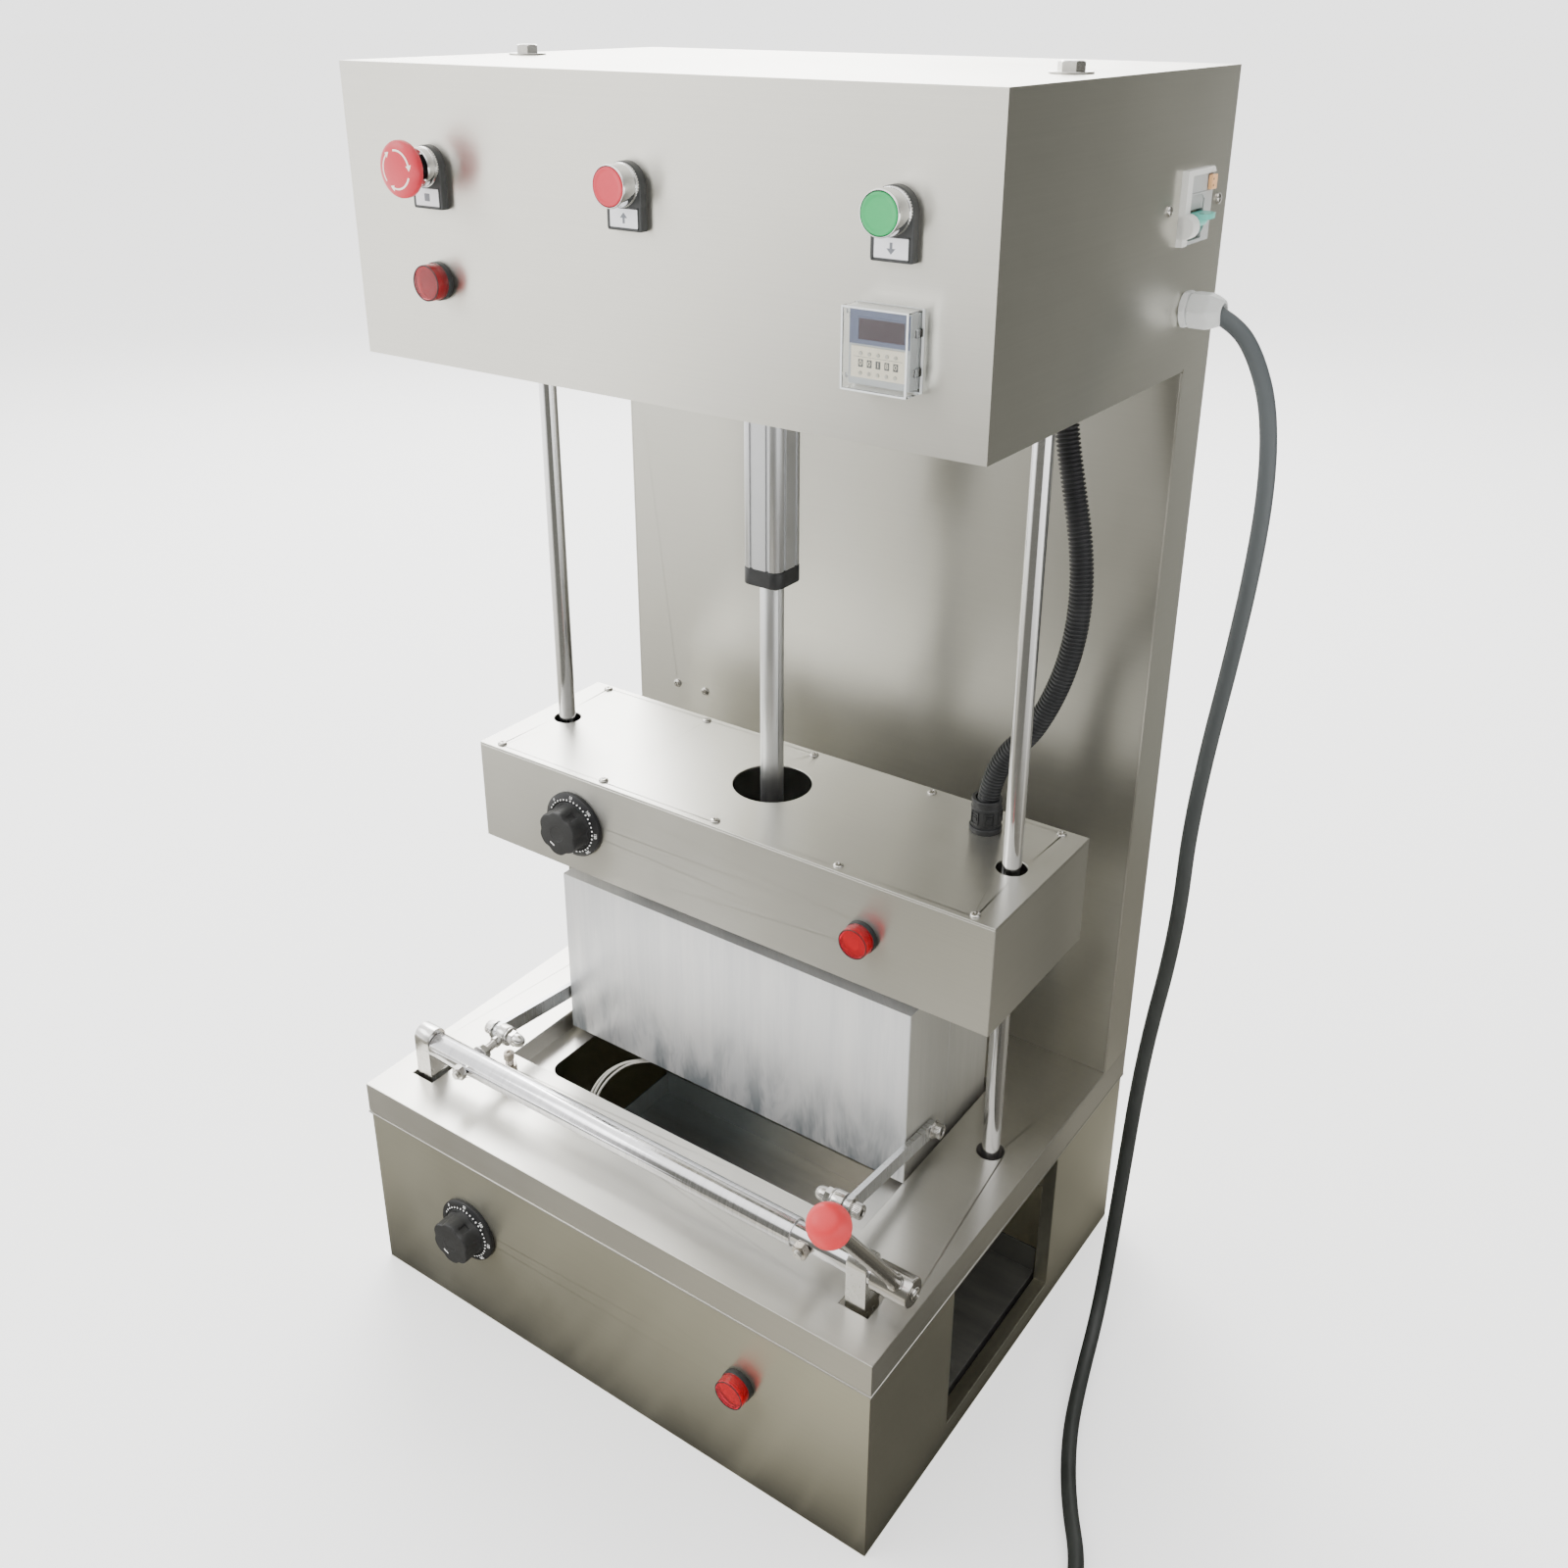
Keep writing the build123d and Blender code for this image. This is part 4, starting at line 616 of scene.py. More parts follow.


# painted light and shade: the same brushed stainless is tinted per part, lighter on the head, darker on the column, and
# warmer and darker on the base, to stand for what each part mirrors
steel_head = brushed("steel_head", (0.722, 0.706, 0.640), 0.305, 0.0)
steel_column = brushed("steel_column", (0.560, 0.550, 0.495), 0.295, 3.1)
steel_carriage = brushed("steel_carriage", (0.660, 0.652, 0.605), 0.305, 7.7)
steel_base = brushed("steel_base", (0.620, 0.605, 0.510), 0.285, 11.3)
steel_lid = brushed("steel_lid", (0.635, 0.622, 0.575), 0.300, 17.9)
steel_pan = brushed("steel_pan", (0.60, 0.585, 0.545), 0.300, 23.0)
steel_tray = tray_steel()
block_metal = milled()
rod_metal = turned("ground_rod", (0.82, 0.82, 0.83), 0.12)
ram_metal = turned("ram_rod", (0.82, 0.83, 0.84), 0.37, streak=0.03)
shaft_metal = turned("shaft_chrome", (0.83, 0.83, 0.85), 0.11, along='X')
sleeve_metal = sleeve_bar()
tube_metal = turned("anodised_tube", (0.70, 0.71, 0.73), 0.37)
lever_metal = turned("lever_rod", (0.62, 0.60, 0.57), 0.19)
cone_metal = turned("turned_cone", (0.76, 0.76, 0.75), 0.20)
link_metal = turned("link_bar", (0.64, 0.65, 0.655), 0.27, along='Y', streak=0.02)
strap_metal = plated("strap_steel", (0.80, 0.79, 0.77), 0.20, 0.25)
plate_metal = plated("plain_steel", (0.60, 0.59, 0.57), 0.32, 0.5)
screw_metal = plated("bright_screws", (0.66, 0.65, 0.62), 0.18, 0.5)
bolt_metal = plated("plated_bolts", (0.66, 0.65, 0.625), 0.17, 0.5)
brown_bolt = plated("tarnished_nut", (0.56, 0.52, 0.47), 0.24, 0.7)
bezel_metal = plated("bezel_chrome", (0.86, 0.86, 0.86), 0.09, 0.15)
black_matt = plastic("black_knob", (0.019, 0.0195, 0.020), 0.48, 0.9, dust=0.035)
black_satin = plastic("black_dial", (0.010, 0.0105, 0.012), 0.42, 0.6, dust=0.02)
black_fitting = plastic("black_fitting", (0.015, 0.016, 0.017), 0.40, 0.6, dust=0.03)
black_collar = plastic("black_collar", (0.014, 0.015, 0.016), 0.42, 0.6, dust=0.05)
holder_grey = plastic("holder_grey", (0.032, 0.034, 0.034), 0.42, 0.8, dust=0.04)
conduit = plastic("conduit_black", (0.012, 0.013, 0.014), 0.36, 0.4, dust=0.03)
white_mark = plastic("white_print", (0.95, 0.95, 0.94), 0.55, 0.2, dust=0.0)
cream_mark = plastic("cream_print", (0.95, 0.88, 0.80), 0.5, 0.2, dust=0.0)
symbol_grey = plastic("grey_print", (0.16, 0.17, 0.19), 0.55, 0.2, dust=0.0)
label_white = plastic("label_card", (0.80, 0.80, 0.83), 0.42, 0.4, dust=0.05)
red_cap = plastic("red_cap", (0.58, 0.022, 0.042), 0.36, 0.4, coat=0.15, dust=0.03)
red_mush = plastic("red_mushroom", (0.58, 0.022, 0.042), 0.36, 0.5, coat=0.15, dust=0.03)
red_ball = plastic("red_ball", (0.66, 0.022, 0.030), 0.40, 0.5, coat=0.10, dust=0.02, spec=0.45)
green_cap = plastic("green_cap", (0.006, 0.37, 0.10), 0.36, 0.4, coat=0.15, dust=0.03)
white_nylon = plastic("white_nylon", (0.60, 0.61, 0.60), 0.36, 0.5, dust=0.02)
white_case = plastic("white_case", (0.64, 0.64, 0.61), 0.40, 0.6, dust=0.03)
grey_case = plastic("grey_case", (0.40, 0.41, 0.40), 0.44, 0.6, dust=0.04)
grey_gear = plastic("grey_gear", (0.30, 0.31, 0.32), 0.45, 0.6)
teal = plastic("teal_lever", (0.10, 0.46, 0.38), 0.34, 0.5, dust=0.05)
teal_dark = plastic("teal_shadow", (0.05, 0.16, 0.13), 0.45, 0.5, dust=0.02)
orange_key = plastic("orange_key", (0.80, 0.44, 0.20), 0.38, 0.5, dust=0.04)
timer_blue = plastic("timer_blue", (0.085, 0.105, 0.180), 0.40, 0.4, dust=0.05, spec=0.25)
timer_window = plastic("timer_window", (0.028, 0.011, 0.018), 0.30, 0.1, coat=0.0, dust=0.03, spec=0.12)
timer_cream = plastic("timer_cream", (0.74, 0.68, 0.53), 0.45, 0.4, dust=0.0)
timer_dark = plastic("timer_dark", (0.042, 0.042, 0.038), 0.45, 0.4, dust=0.0)
timer_case_grey = plastic("timer_case_grey", (0.42, 0.44, 0.445), 0.40, 0.4, dust=0.03)
# painted shade: the keys are a darker copy of the cream, so the small bumps read as shaded
timer_key = plastic("timer_key", (0.46, 0.44, 0.37), 0.45, 0.4, dust=0.0)
# the lead's sheath, painted lighter towards its top as if lit from behind
cord_sheath = rubber("cord_sheath", (0.014, 0.0165, 0.0145), 0.44, (0.070, 0.080, 0.084))
plug_black = rubber("plug_black", (0.020, 0.021, 0.023), 0.45)
wire_white = plastic("wire_sleeve", (0.66, 0.64, 0.58), 0.55, 1.0, dust=0.05, scale=1500)
clear_cover = clear("clear_cover")
clear_edge = plastic("clear_edge", (0.72, 0.745, 0.75), 0.20, 0.2, coat=0.4, dust=0.0)
head_lens = lens_red("dark_red_lens", (0.62, 0.09, 0.11))
bright_lens = lens_red("red_lens", (0.80, 0.012, 0.050))
lamp_core = plastic("lamp_core", (0.72, 0.035, 0.07), 0.35, 0.5, dust=0.0)
lamp_core_pale = plastic("lamp_core_pale", (0.62, 0.17, 0.18), 0.4, 0.5, dust=0.0)


# ================================================================ mains lead, one line from gland to plug
CORD_R = 6.5
cord_pts = [(301.0, 402, 933.6), (321.0, 402, 926.4), (338.6, 402, 905.0), (353.6, 402, 868.0), (360.0, 402, 812.0),
            (358.0, 402, 742.0), (350.5, 402, 660.0), (341.5, 401, 580.0), (335.6, 400, 500.0),
            (336.6, 397.5, 432.0), (333.8, 394, 370.0), (327.6, 388, 305.0), (325.0, 379, 240.0),
            (326.4, 366, 170.0), (329.5, 347, 100.0), (337.0, 312, 34.0), (350.0, 247, 6.6),
            (366.0, 193, 6.6), (391.0, 139, 6.6), (425.0, 88, 6.6), (432.0, 46, 6.6), (424.5, 12, 6.6)]
tail_pts = [(449.5, -89, 19.6), (466.0, -107, 19.4), (488.0, -119, 19.0), (514.0, -122, 18.4)]
coil_c, coil_r, per_turn = (495.0, -20.0), 71.5, 16
coil_pts = []
steps = int(round((2 + 50 / 360) * per_turn))
for k in range(1, steps):
    t = 180 + k * 360 / per_turn
    z = 6.6 if t < 400 else 19.6 if t > 500 else 6.6 + 13.0 * (0.5 - 0.5 * math.cos(math.pi * (t - 400) / 100))
    a = math.radians(t)
    reach = coil_r / 0.981
    coil_pts.append((coil_c[0] + reach * math.cos(a), coil_c[1] + reach * math.sin(a), z))
route = [P(*p) for p in cord_pts + coil_pts + tail_pts]


def nurbs(name, pts, radius=0.0, res=8, ring=6):
    cu = bpy.data.curves.new(name, 'CURVE')
    cu.dimensions = '3D'
    sp = cu.splines.new('NURBS')
    sp.points.add(len(pts) - 1)
    for q, p in zip(sp.points, pts):
        q.co = (p[0], p[1], p[2], 1.0)
    sp.order_u = 3
    sp.use_endpoint_u = True
    cu.resolution_u = res
    cu.bevel_depth = radius
    cu.bevel_resolution = ring
    cu.use_fill_caps = radius > 0
    obj = bpy.data.objects.new(name, cu)
    scene.collection.objects.link(obj)
    return obj


def line_of(pts, res=12):
    """Points along the NURBS line of a route."""
    obj = nurbs("line", pts, 0.0, res)
    vs, _ = evaluated(obj)
    drop(obj)
    return vs


cord = nurbs("mains_lead", route, CORD_R * MM, 10, 7)
cord.data.materials.append(cord_sheath)
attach(cord, "frame")
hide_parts("power_cord", "cord_coil")

# plug: ribbed relief, round body with a grip waist, two pins
plug = Build()
po = P(514, -122, 18.4)
relief = [(CORD_R - 0.4, 0), (7.4, 0.2)]
for k in range(7):
    h = 2 + k * 4.0
    r = 7.4 + 3.1 * h / 30
    relief += [(r, h), (r, h + 2.2), (r - 1.1, h + 2.5), (r - 1.0, h + 3.7)]
relief += [(10.4, 30), (12.6, 30.4), (14.6, 33), (17.6, 37.4), (18.1, 39.2), (18.2, 41), (17.2, 43.5), (17.0, 47.5), (17.3, 50.5),
           (18.1, 53), (18.2, 58.2), (17.6, 59.6), (16.4, 60), (0, 60)]
plug.polar(relief, po, RIGHT, seg=64)
for dy in (-9.5, 9.5):
    o = po + Vector((60 * MM, dy * MM, 0))
    plug.polar([(2.4, -0.5), (2.4, 9.5), (2.4, 9.5), (2.4, 17.2), (1.9, 18.6), (0.9, 19), (0, 19)], o, RIGHT, seg=24, mat=[0, 0, 1, 1, 1, 1])
plug_obj = plug.make("mains_plug", [plug_black, bolt_metal], "frame", "black_plastic", ["cord_plug"])


# ================================================================ floor and light
def sheet(name, corners, material):
    mesh = bpy.data.meshes.new(name)
    mesh.from_pydata(corners, [], [(0, 1, 2, 3)])
    mesh.materials.append(material)
    obj = bpy.data.objects.new(name, mesh)
    scene.collection.objects.link(obj)
    return obj


fm = Mat("floor_pale", Roughness=0.95, Specular_IOR_Level=0.0, Emission_Color=rgb(1.0, 1.0, 1.0), Emission_Strength=0.80)
fn = fm.noise(fm.mapped((6, 6, 6)), 1.0, 4.0, 0.6)
fm.set('Base Color', fm.mix(fn, rgb(0.86, 0.86, 0.855), rgb(0.89, 0.89, 0.885)))
edges = (-600, -60, -6, 6, 60, 600)
floor_mesh = bpy.data.meshes.new("floor")
floor_mesh.from_pydata([(x, y, 0) for y in edges for x in edges], [],
                       [(j * 6 + i, j * 6 + i + 1, (j + 1) * 6 + i + 1, (j + 1) * 6 + i) for j in range(5) for i in range(5)])
floor_mesh.materials.append(fm.mat)
floor = bpy.data.objects.new("floor", floor_mesh)
scene.collection.objects.link(floor)

dm = Mat("backdrop_pale")
dm_glow = dm.node('ShaderNodeEmission', Strength=1.0)
dn = dm.noise(dm.mapped((0.01, 0.01, 0.01)), 1.0, 2.0, 0.5)
dm.link(dm.mix(dn, rgb(2.61, 2.61, 2.60), rgb(2.66, 2.66, 2.65)), dm_glow.inputs['Color'])
dm.link(dm_glow.outputs[0], dm.out.inputs['Surface'])
dm.nt.nodes.remove(dm.bsdf)
dome_v, dome_f = [(0.0, 0.0, 48.0)], []
for r_, z_ in ((25.7, 41.1), (41.1, 24.9), (48.0, 6.9), (48.0, -0.3)):
    dome_v += [(r_ * math.cos(2 * math.pi * i / 48), r_ * math.sin(2 * math.pi * i / 48), z_) for i in range(48)]
dome_f += [(0, 1 + i, 1 + (i + 1) % 48) for i in range(48)]
for j in range(3):
    dome_f += [(1 + 48 * j + i, 1 + 48 * (j + 1) + i, 1 + 48 * (j + 1) + (i + 1) % 48, 1 + 48 * j + (i + 1) % 48) for i in range(48)]
dome_mesh = bpy.data.meshes.new("backdrop")
dome_mesh.from_pydata(dome_v, [], dome_f)
dome_mesh.materials.append(dm.mat)
backdrop = bpy.data.objects.new("backdrop", dome_mesh)
scene.collection.objects.link(backdrop)
backdrop.visible_diffuse = backdrop.visible_glossy = backdrop.visible_shadow = False
backdrop.visible_transmission = backdrop.visible_volume_scatter = False

world = bpy.data.worlds.new("studio")
scene.world = world
world.use_nodes = True
wt = world.node_tree
wt.nodes.clear()
w_out = wt.nodes.new('ShaderNodeOutputWorld')
w_bg = wt.nodes.new('ShaderNodeBackground')
wt.links.new(w_bg.outputs[0], w_out.inputs[0])
w_tc = wt.nodes.new('ShaderNodeTexCoord')


def w_math(op, a, b=None):
    m = wt.nodes.new('ShaderNodeMath')
    m.operation = op
    for i, v in enumerate((a, b)):
        if isinstance(v, (int, float)):
            m.inputs[i].default_value = v
        elif v is not None:
            wt.links.new(v, m.inputs[i])
    return m.outputs[0]


def w_lobe(azimuth, lo, hi):
    """0 to 1 with the angle between a direction's heading and an azimuth in degrees."""
    flat = wt.nodes.new('ShaderNodeVectorMath')
    flat.operation = 'MULTIPLY'
    flat.inputs[1].default_value = (1, 1, 0)
    wt.links.new(w_tc.outputs['Generated'], flat.inputs[0])
    unit = wt.nodes.new('ShaderNodeVectorMath')
    unit.operation = 'NORMALIZE'
    wt.links.new(flat.outputs[0], unit.inputs[0])
    dot = wt.nodes.new('ShaderNodeVectorMath')
    dot.operation = 'DOT_PRODUCT'
    a = math.radians(azimuth)
    dot.inputs[1].default_value = (math.cos(a), math.sin(a), 0)
    wt.links.new(unit.outputs[0], dot.inputs[0])
    r = wt.nodes.new('ShaderNodeMapRange')
    r.interpolation_type = 'SMOOTHSTEP'
    r.inputs['From Min'].default_value, r.inputs['From Max'].default_value = lo, hi
    wt.links.new(dot.outputs['Value'], r.inputs['Value'])
    return r.outputs['Result']


w_sep = wt.nodes.new('ShaderNodeSeparateXYZ')
wt.links.new(w_tc.outputs['Generated'], w_sep.inputs[0])
w_up = wt.nodes.new('ShaderNodeMapRange')
w_up.interpolation_type = 'SMOOTHSTEP'
w_up.inputs['From Min'].default_value, w_up.inputs['From Max'].default_value = 0.35, 0.95
wt.links.new(w_sep.outputs['Z'], w_up.inputs['Value'])
horizon = w_math('ADD', 0.45, w_math('MULTIPLY', w_lobe(188, -0.35, 0.30), 1.40))
horizon = w_math('ADD', horizon, w_math('MULTIPLY', w_lobe(131, 0.55, 0.93), 2.2))
level = w_math('ADD', w_math('MULTIPLY', horizon, w_math('SUBTRACT', 1.0, w_up.outputs[0])), w_math('MULTIPLY', w_up.outputs[0], 2.4))
w_bg.inputs['Color'].default_value = (1.0, 0.995, 0.985, 1)
wt.links.new(level, w_bg.inputs['Strength'])


def softbox(name, where, at, w, h, radiance, color=(1, 1, 1)):
    data = bpy.data.lights.new(name, 'AREA')
    data.shape = 'RECTANGLE'
    data.size, data.size_y = w, h
    data.energy = radiance * math.pi * w * h
    data.color = color
    obj = bpy.data.objects.new(name, data)
    scene.collection.objects.link(obj)
    d = (Vector(at) - Vector(where)).normalized()
    obj.matrix_world = Matrix.Translation(where) @ d.to_track_quat('-Z', 'Y').to_matrix().to_4x4()
    return obj


softbox("back_left_soft", (-2.15, 2.6, 2.3), (0, 0, 0.5), 3.0, 2.2, 6.0)
softbox("high_left_soft", (-2.10, 1.85, 3.10), (0, 0, 0.2), 1.8, 1.3, 9.5)
softbox("front_left_soft", (-2.6, -2.2, 2.9), (0, 0, 0.4), 2.0, 1.6, 4.2)


def reflection_shade_card(name, corners, build_shader):
    """An emitting card that only mirrors see: painted light and shade in reflections, where a darker room would stand.
    """
    m = Mat(name)
    glow = m.node('ShaderNodeEmission')
    hole = m.node('ShaderNodeBsdfTransparent')
    mixer = m.node('ShaderNodeMixShader')
    m.link(hole.outputs[0], mixer.inputs[1])
    m.link(glow.outputs[0], mixer.inputs[2])
    m.link(mixer.outputs[0], m.out.inputs['Surface'])
    m.nt.nodes.remove(m.bsdf)
    colour, strength, cover = build_shader(m)
    glow.inputs['Color'].default_value = rgb(*colour)
    if isinstance(strength, (int, float)):
        glow.inputs['Strength'].default_value = strength
    else:
        m.link(strength, glow.inputs['Strength'])
    m.link(cover, mixer.inputs[0])
    card = sheet(name, corners, m.mat)
    card.visible_camera = card.visible_diffuse = card.visible_shadow = False
    card.visible_transmission = card.visible_volume_scatter = False
    return card


def floor_shade(m):
    """Darker next to the machine, most on its right, and fading out across the floor."""
    sep = m.node('ShaderNodeSeparateXYZ')
    m.link(m.tc.outputs['Object'], sep.inputs[0])
    dx = m.math('MAXIMUM', m.math('SUBTRACT', m.math('ABSOLUTE', sep.outputs['X']), 0.28), 0.0)
    dy = m.math('MAXIMUM', m.math('SUBTRACT', m.math('ABSOLUTE', sep.outputs['Y']), 0.2325), 0.0)
    far = m.math('SQRT', m.math('ADD', m.math('MULTIPLY', dx, dx), m.math('MULTIPLY', dy, dy)))
    near = m.ramp(far, 0.0, 0.13, 0.035, 0.44)
    more = m.ramp(far, 0.15, 1.4, 0.0, 0.65)
    across = m.ramp(sep.outputs['X'], -0.40, 0.15, 0.80, 1.85)
    right = m.ramp(sep.outputs['X'], 0.265, 0.35, 1.0, 0.165)
    back = m.math('MULTIPLY', m.ramp(sep.outputs['Y'], 0.02, 0.25, 1.0, 2.1), m.ramp(sep.outputs['Y'], 0.35, 0.60, 1.0, 0.58))
    strength = m.math('MULTIPLY', m.math('MULTIPLY', m.math('ADD', near, more), right), m.math('MULTIPLY', across, back))
    soft = m.noise(m.mapped((7, 7, 1)), 1.0, 3.0, 0.55)
    # painted reflection: thin bright streaks in the floor card close to the base
    thin = m.noise(m.mapped((34, 5, 1), (2.0, 0.0, 0.0), (0.0, 0.0, -0.6)), 1.0, 3.0, 0.6)
    streaks = m.math('MULTIPLY', m.ramp(thin, 0.52, 0.72, 0.0, 1.1), m.ramp(far, 0.0, 0.10, 1.0, 0.0))
    strength = m.math('MULTIPLY', strength, m.math('ADD', m.ramp(soft, 0.3, 0.7, 0.80, 1.22), streaks))
    cover = m.ramp(far, 0.9, 3.2, 1.0, 0.0)
    return (1.0, 0.95, 0.80), strength, cover


reflection_shade_card("floor_card", [(-4, -4, 0.001), (4, -4, 0.001), (4, 4, 0.001), (-4, 4, 0.001)], floor_shade)


def standing(x0, x1, z1, strength, colour, soft, soft_z, turn=None):
    def shader(m):
        sep = m.node('ShaderNodeSeparateXYZ')
        m.link(m.tc.outputs['Object'], sep.inputs[0])
        level = strength
        if turn:
            blobs = m.noise(m.mapped((3.2, 3.2, 2.2)), 1.0, 3.0, 0.55)
            level = m.math('MULTIPLY', m.ramp(sep.outputs['X'], turn[0], turn[1], turn[2], strength), m.ramp(blobs, 0.3, 0.7, 0.80, 1.25))
        a = m.ramp(sep.outputs['X'], x0, x0 + soft, 0.0, 1.0)
        b = m.ramp(sep.outputs['Z'], z1 - soft_z, z1, 1.0, 0.0)
        return colour, level, m.math('MULTIPLY', a, b)
    return shader


# painted shade in reflections, in front of the machine and behind it on the right
reflection_shade_card("front_card", [(-0.75, -0.90, 0.003), (1.2, -0.90, 0.003), (1.2, -0.90, 0.92), (-0.75, -0.90, 0.92)],
          standing(-0.74, 1.2, 0.91, 0.21, (1.0, 0.98, 0.86), 0.50, 0.24))
reflection_shade_card("back_card", [(0.31, 1.0, 0.003), (2.6, 1.0, 0.003), (2.6, 1.0, 4.4), (0.31, 1.0, 4.4)],
          standing(0.33, 2.6, 4.3, 0.165, (1.0, 1.0, 0.90), 0.10, 0.12, (0.50, 0.82, 0.33)))


# ================================================================ CAD nodes that stay, with their finish
def finish(node, mat, bevel=0.0, segments=2, angle=35):
    obj = nodes[node]
    for s in obj.material_slots:
        s.material = mat
    if bevel:
        add_bevel(obj, bevel, segments, weld=True, angle=angle)


finish("body_shell", steel_head, 0.7, 3)
finish("head_bottom_plate", steel_head, 0.3)
finish("rear_cover", steel_head, 0.3)
finish("column_front_panel", steel_column, 0.3)
finish("base_shell", steel_base, 0.5, 3)
finish("base_lid", steel_lid, 0.7, 3)
finish("mould_pan", steel_pan, 0.3)
finish("discharge_tray", steel_tray, 0.3)
finish("carriage_box", steel_carriage, 0.7, 3)
finish("carriage_cover", steel_carriage, 0.6, 3)
finish("mould_rear_half", block_metal, 0.5)
finish("mould_front_half", block_metal, 0.5)
finish("guide_rods", rod_metal)
finish("actuator_tube", tube_metal, 0.25)
finish("actuator_end_cap", black_fitting, 0.4)
finish("actuator_gearbox", plate_metal, 0.5)
finish("actuator_rod", ram_metal, 0.4)
finish("rod_sockets", plate_metal, 0.5)
finish("mould_guide_pins", rod_metal, 0.4)
for n in ("rear_heaters", "front_heaters", "cone_heaters", "linear_bearings"):
    finish(n, plate_metal, 0.3)
finish("shaft_brackets", strap_metal, 0.7, 3)
finish("handle_shaft", shaft_metal, 0.5)
finish("handle_sleeve", sleeve_metal, 0.5)
finish("cone_plate", block_metal, 0.6)
finish("cone_mandrels", cone_metal)
finish("control_gear", grey_gear, 0.6)
finish("carriage_thermostat", black_satin, 0.4)
finish("base_thermostat", black_satin, 0.4)
finish("estop_stem", black_fitting, 0.4)
finish("timer_frame", clear_cover, 0.4)
finish("timer_cover", clear_cover, 0.45, 3)
finish("link_bars", link_metal, 0.6)
finish("lever_ball", red_ball)


# ================================================================ corrugated conduit
def frames_along(pts):
    """Distances, points, and two cross directions carried along a line."""
    out, n, s = [], None, 0.0
    for i, p in enumerate(pts):
        a, b = pts[max(0, i - 1)], pts[min(len(pts) - 1, i + 1)]
        t = (b - a).normalized()
        if n is None:
            n = Vector((0, 1, 0)) if abs(t.y) < 0.9 else Vector((1, 0, 0))
        n = (n - t * n.dot(t)).normalized()
        if i:
            s += (p - pts[i - 1]).length
        out.append((s, p, n.copy(), t.cross(n)))
    return out


def tube(build, pts, radius_at, step, seg=28, mat=0):
    """A tube on a line, with a radius (mm) that depends on the distance (m) along it."""
    fr = frames_along(pts)
    total = fr[-1][0]
    count = int(total / step)
    rings, j = [], 0
    for k in range(count + 1):
        s = total * k / count
        while j < len(fr) - 2 and fr[j + 1][0] < s:
            j += 1
        s0, p0, n0, b0 = fr[j]
        s1, p1, n1, b1 = fr[j + 1]
        f = (s - s0) / max(1e-9, s1 - s0)
        p, n, b = p0.lerp(p1, f), n0.lerp(n1, f).normalized(), b0.lerp(b1, f).normalized()
        r = radius_at(s, total) * MM
        rings.append([p + n * r * math.cos(2 * math.pi * i / seg) + b * r * math.sin(2 * math.pi * i / seg) for i in range(seg)])
    verts = [p for ring in rings for p in ring]
    faces = [(k * seg + i, k * seg + (i + 1) % seg, (k + 1) * seg + (i + 1) % seg, (k + 1) * seg + i)
             for k in range(len(rings) - 1) for i in range(seg)]
    faces += [tuple(reversed(range(seg))), tuple((len(rings) - 1) * seg + i for i in range(seg))]
    build.add(verts, faces, mat)


hose_pts = [(193.4, 302.7, 516), (194.0, 302.7, 540), (206.5, 302.8, 577), (229.0, 303.2, 603), (246.5, 303.8, 642),
            (257.0, 304.6, 681), (260.6, 305.6, 723), (256.5, 306.8, 766), (246.0, 308.0, 809),
            (236.0, 309.0, 850), (229.0, 310.0, 892)]
hose = Build()


def ribs(s, total):
    f = (s / (3.4 * MM)) % 1.0
    f = abs(f * 2 - 1)
    return 7.6 + 1.65 / (1 + math.exp((0.5 - f) * 18))


tube(hose, line_of([P(*p) for p in hose_pts], 16), ribs, 3.4 * MM / 8, 32)
hose_obj = hose.make("corrugated_conduit", [conduit], None, "conduit_plastic", angle=75)
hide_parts("corrugated_hose")
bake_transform(hose_obj)

# three heater wires under the moving half
lead_pts = [(-92, 226, 194.6), (-92.6, 222, 188.8), (-97, 210, 188.5), (-106, 196, 192.5), (-117, 182, 194.0),
            (-123, 164, 191.0), (-123.5, 146, 184.5), (-121, 131, 172.0), (-120, 125, 156.0), (-120, 124, 140.6)]
leads = Build()
for off, lift in ((-3.3, (0, 0.8, 1.5, 0.2, -0.8, 0.2, 0, 0.4, 0, 0)), (0.0, (0, 0, 0, 0.9, 1.8, 1.4, 0.4, 0, 0, 0)), (3.3, (0, -0.5, -0.9, 0.4, 0.2, -1.1, -0.6, 0, 0, 0))):
    pts = line_of([P(x + off * (1 - 0.09 * abs(l)), y + 0.25 * off - 0.8 * l, z + l) for (x, y, z), l in zip(lead_pts, lift)], 12)

    def braid(s, total, off=off):
        return 1.08 + 0.06 * math.sin(s / MM * 2 * math.pi / 1.3 + off)

    tube(leads, pts, braid, 0.0005, 14)
leads_obj = leads.make("heater_wires", [wire_white], None, "wire_sleeve", angle=80)
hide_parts("heater_leads")
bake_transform(leads_obj)

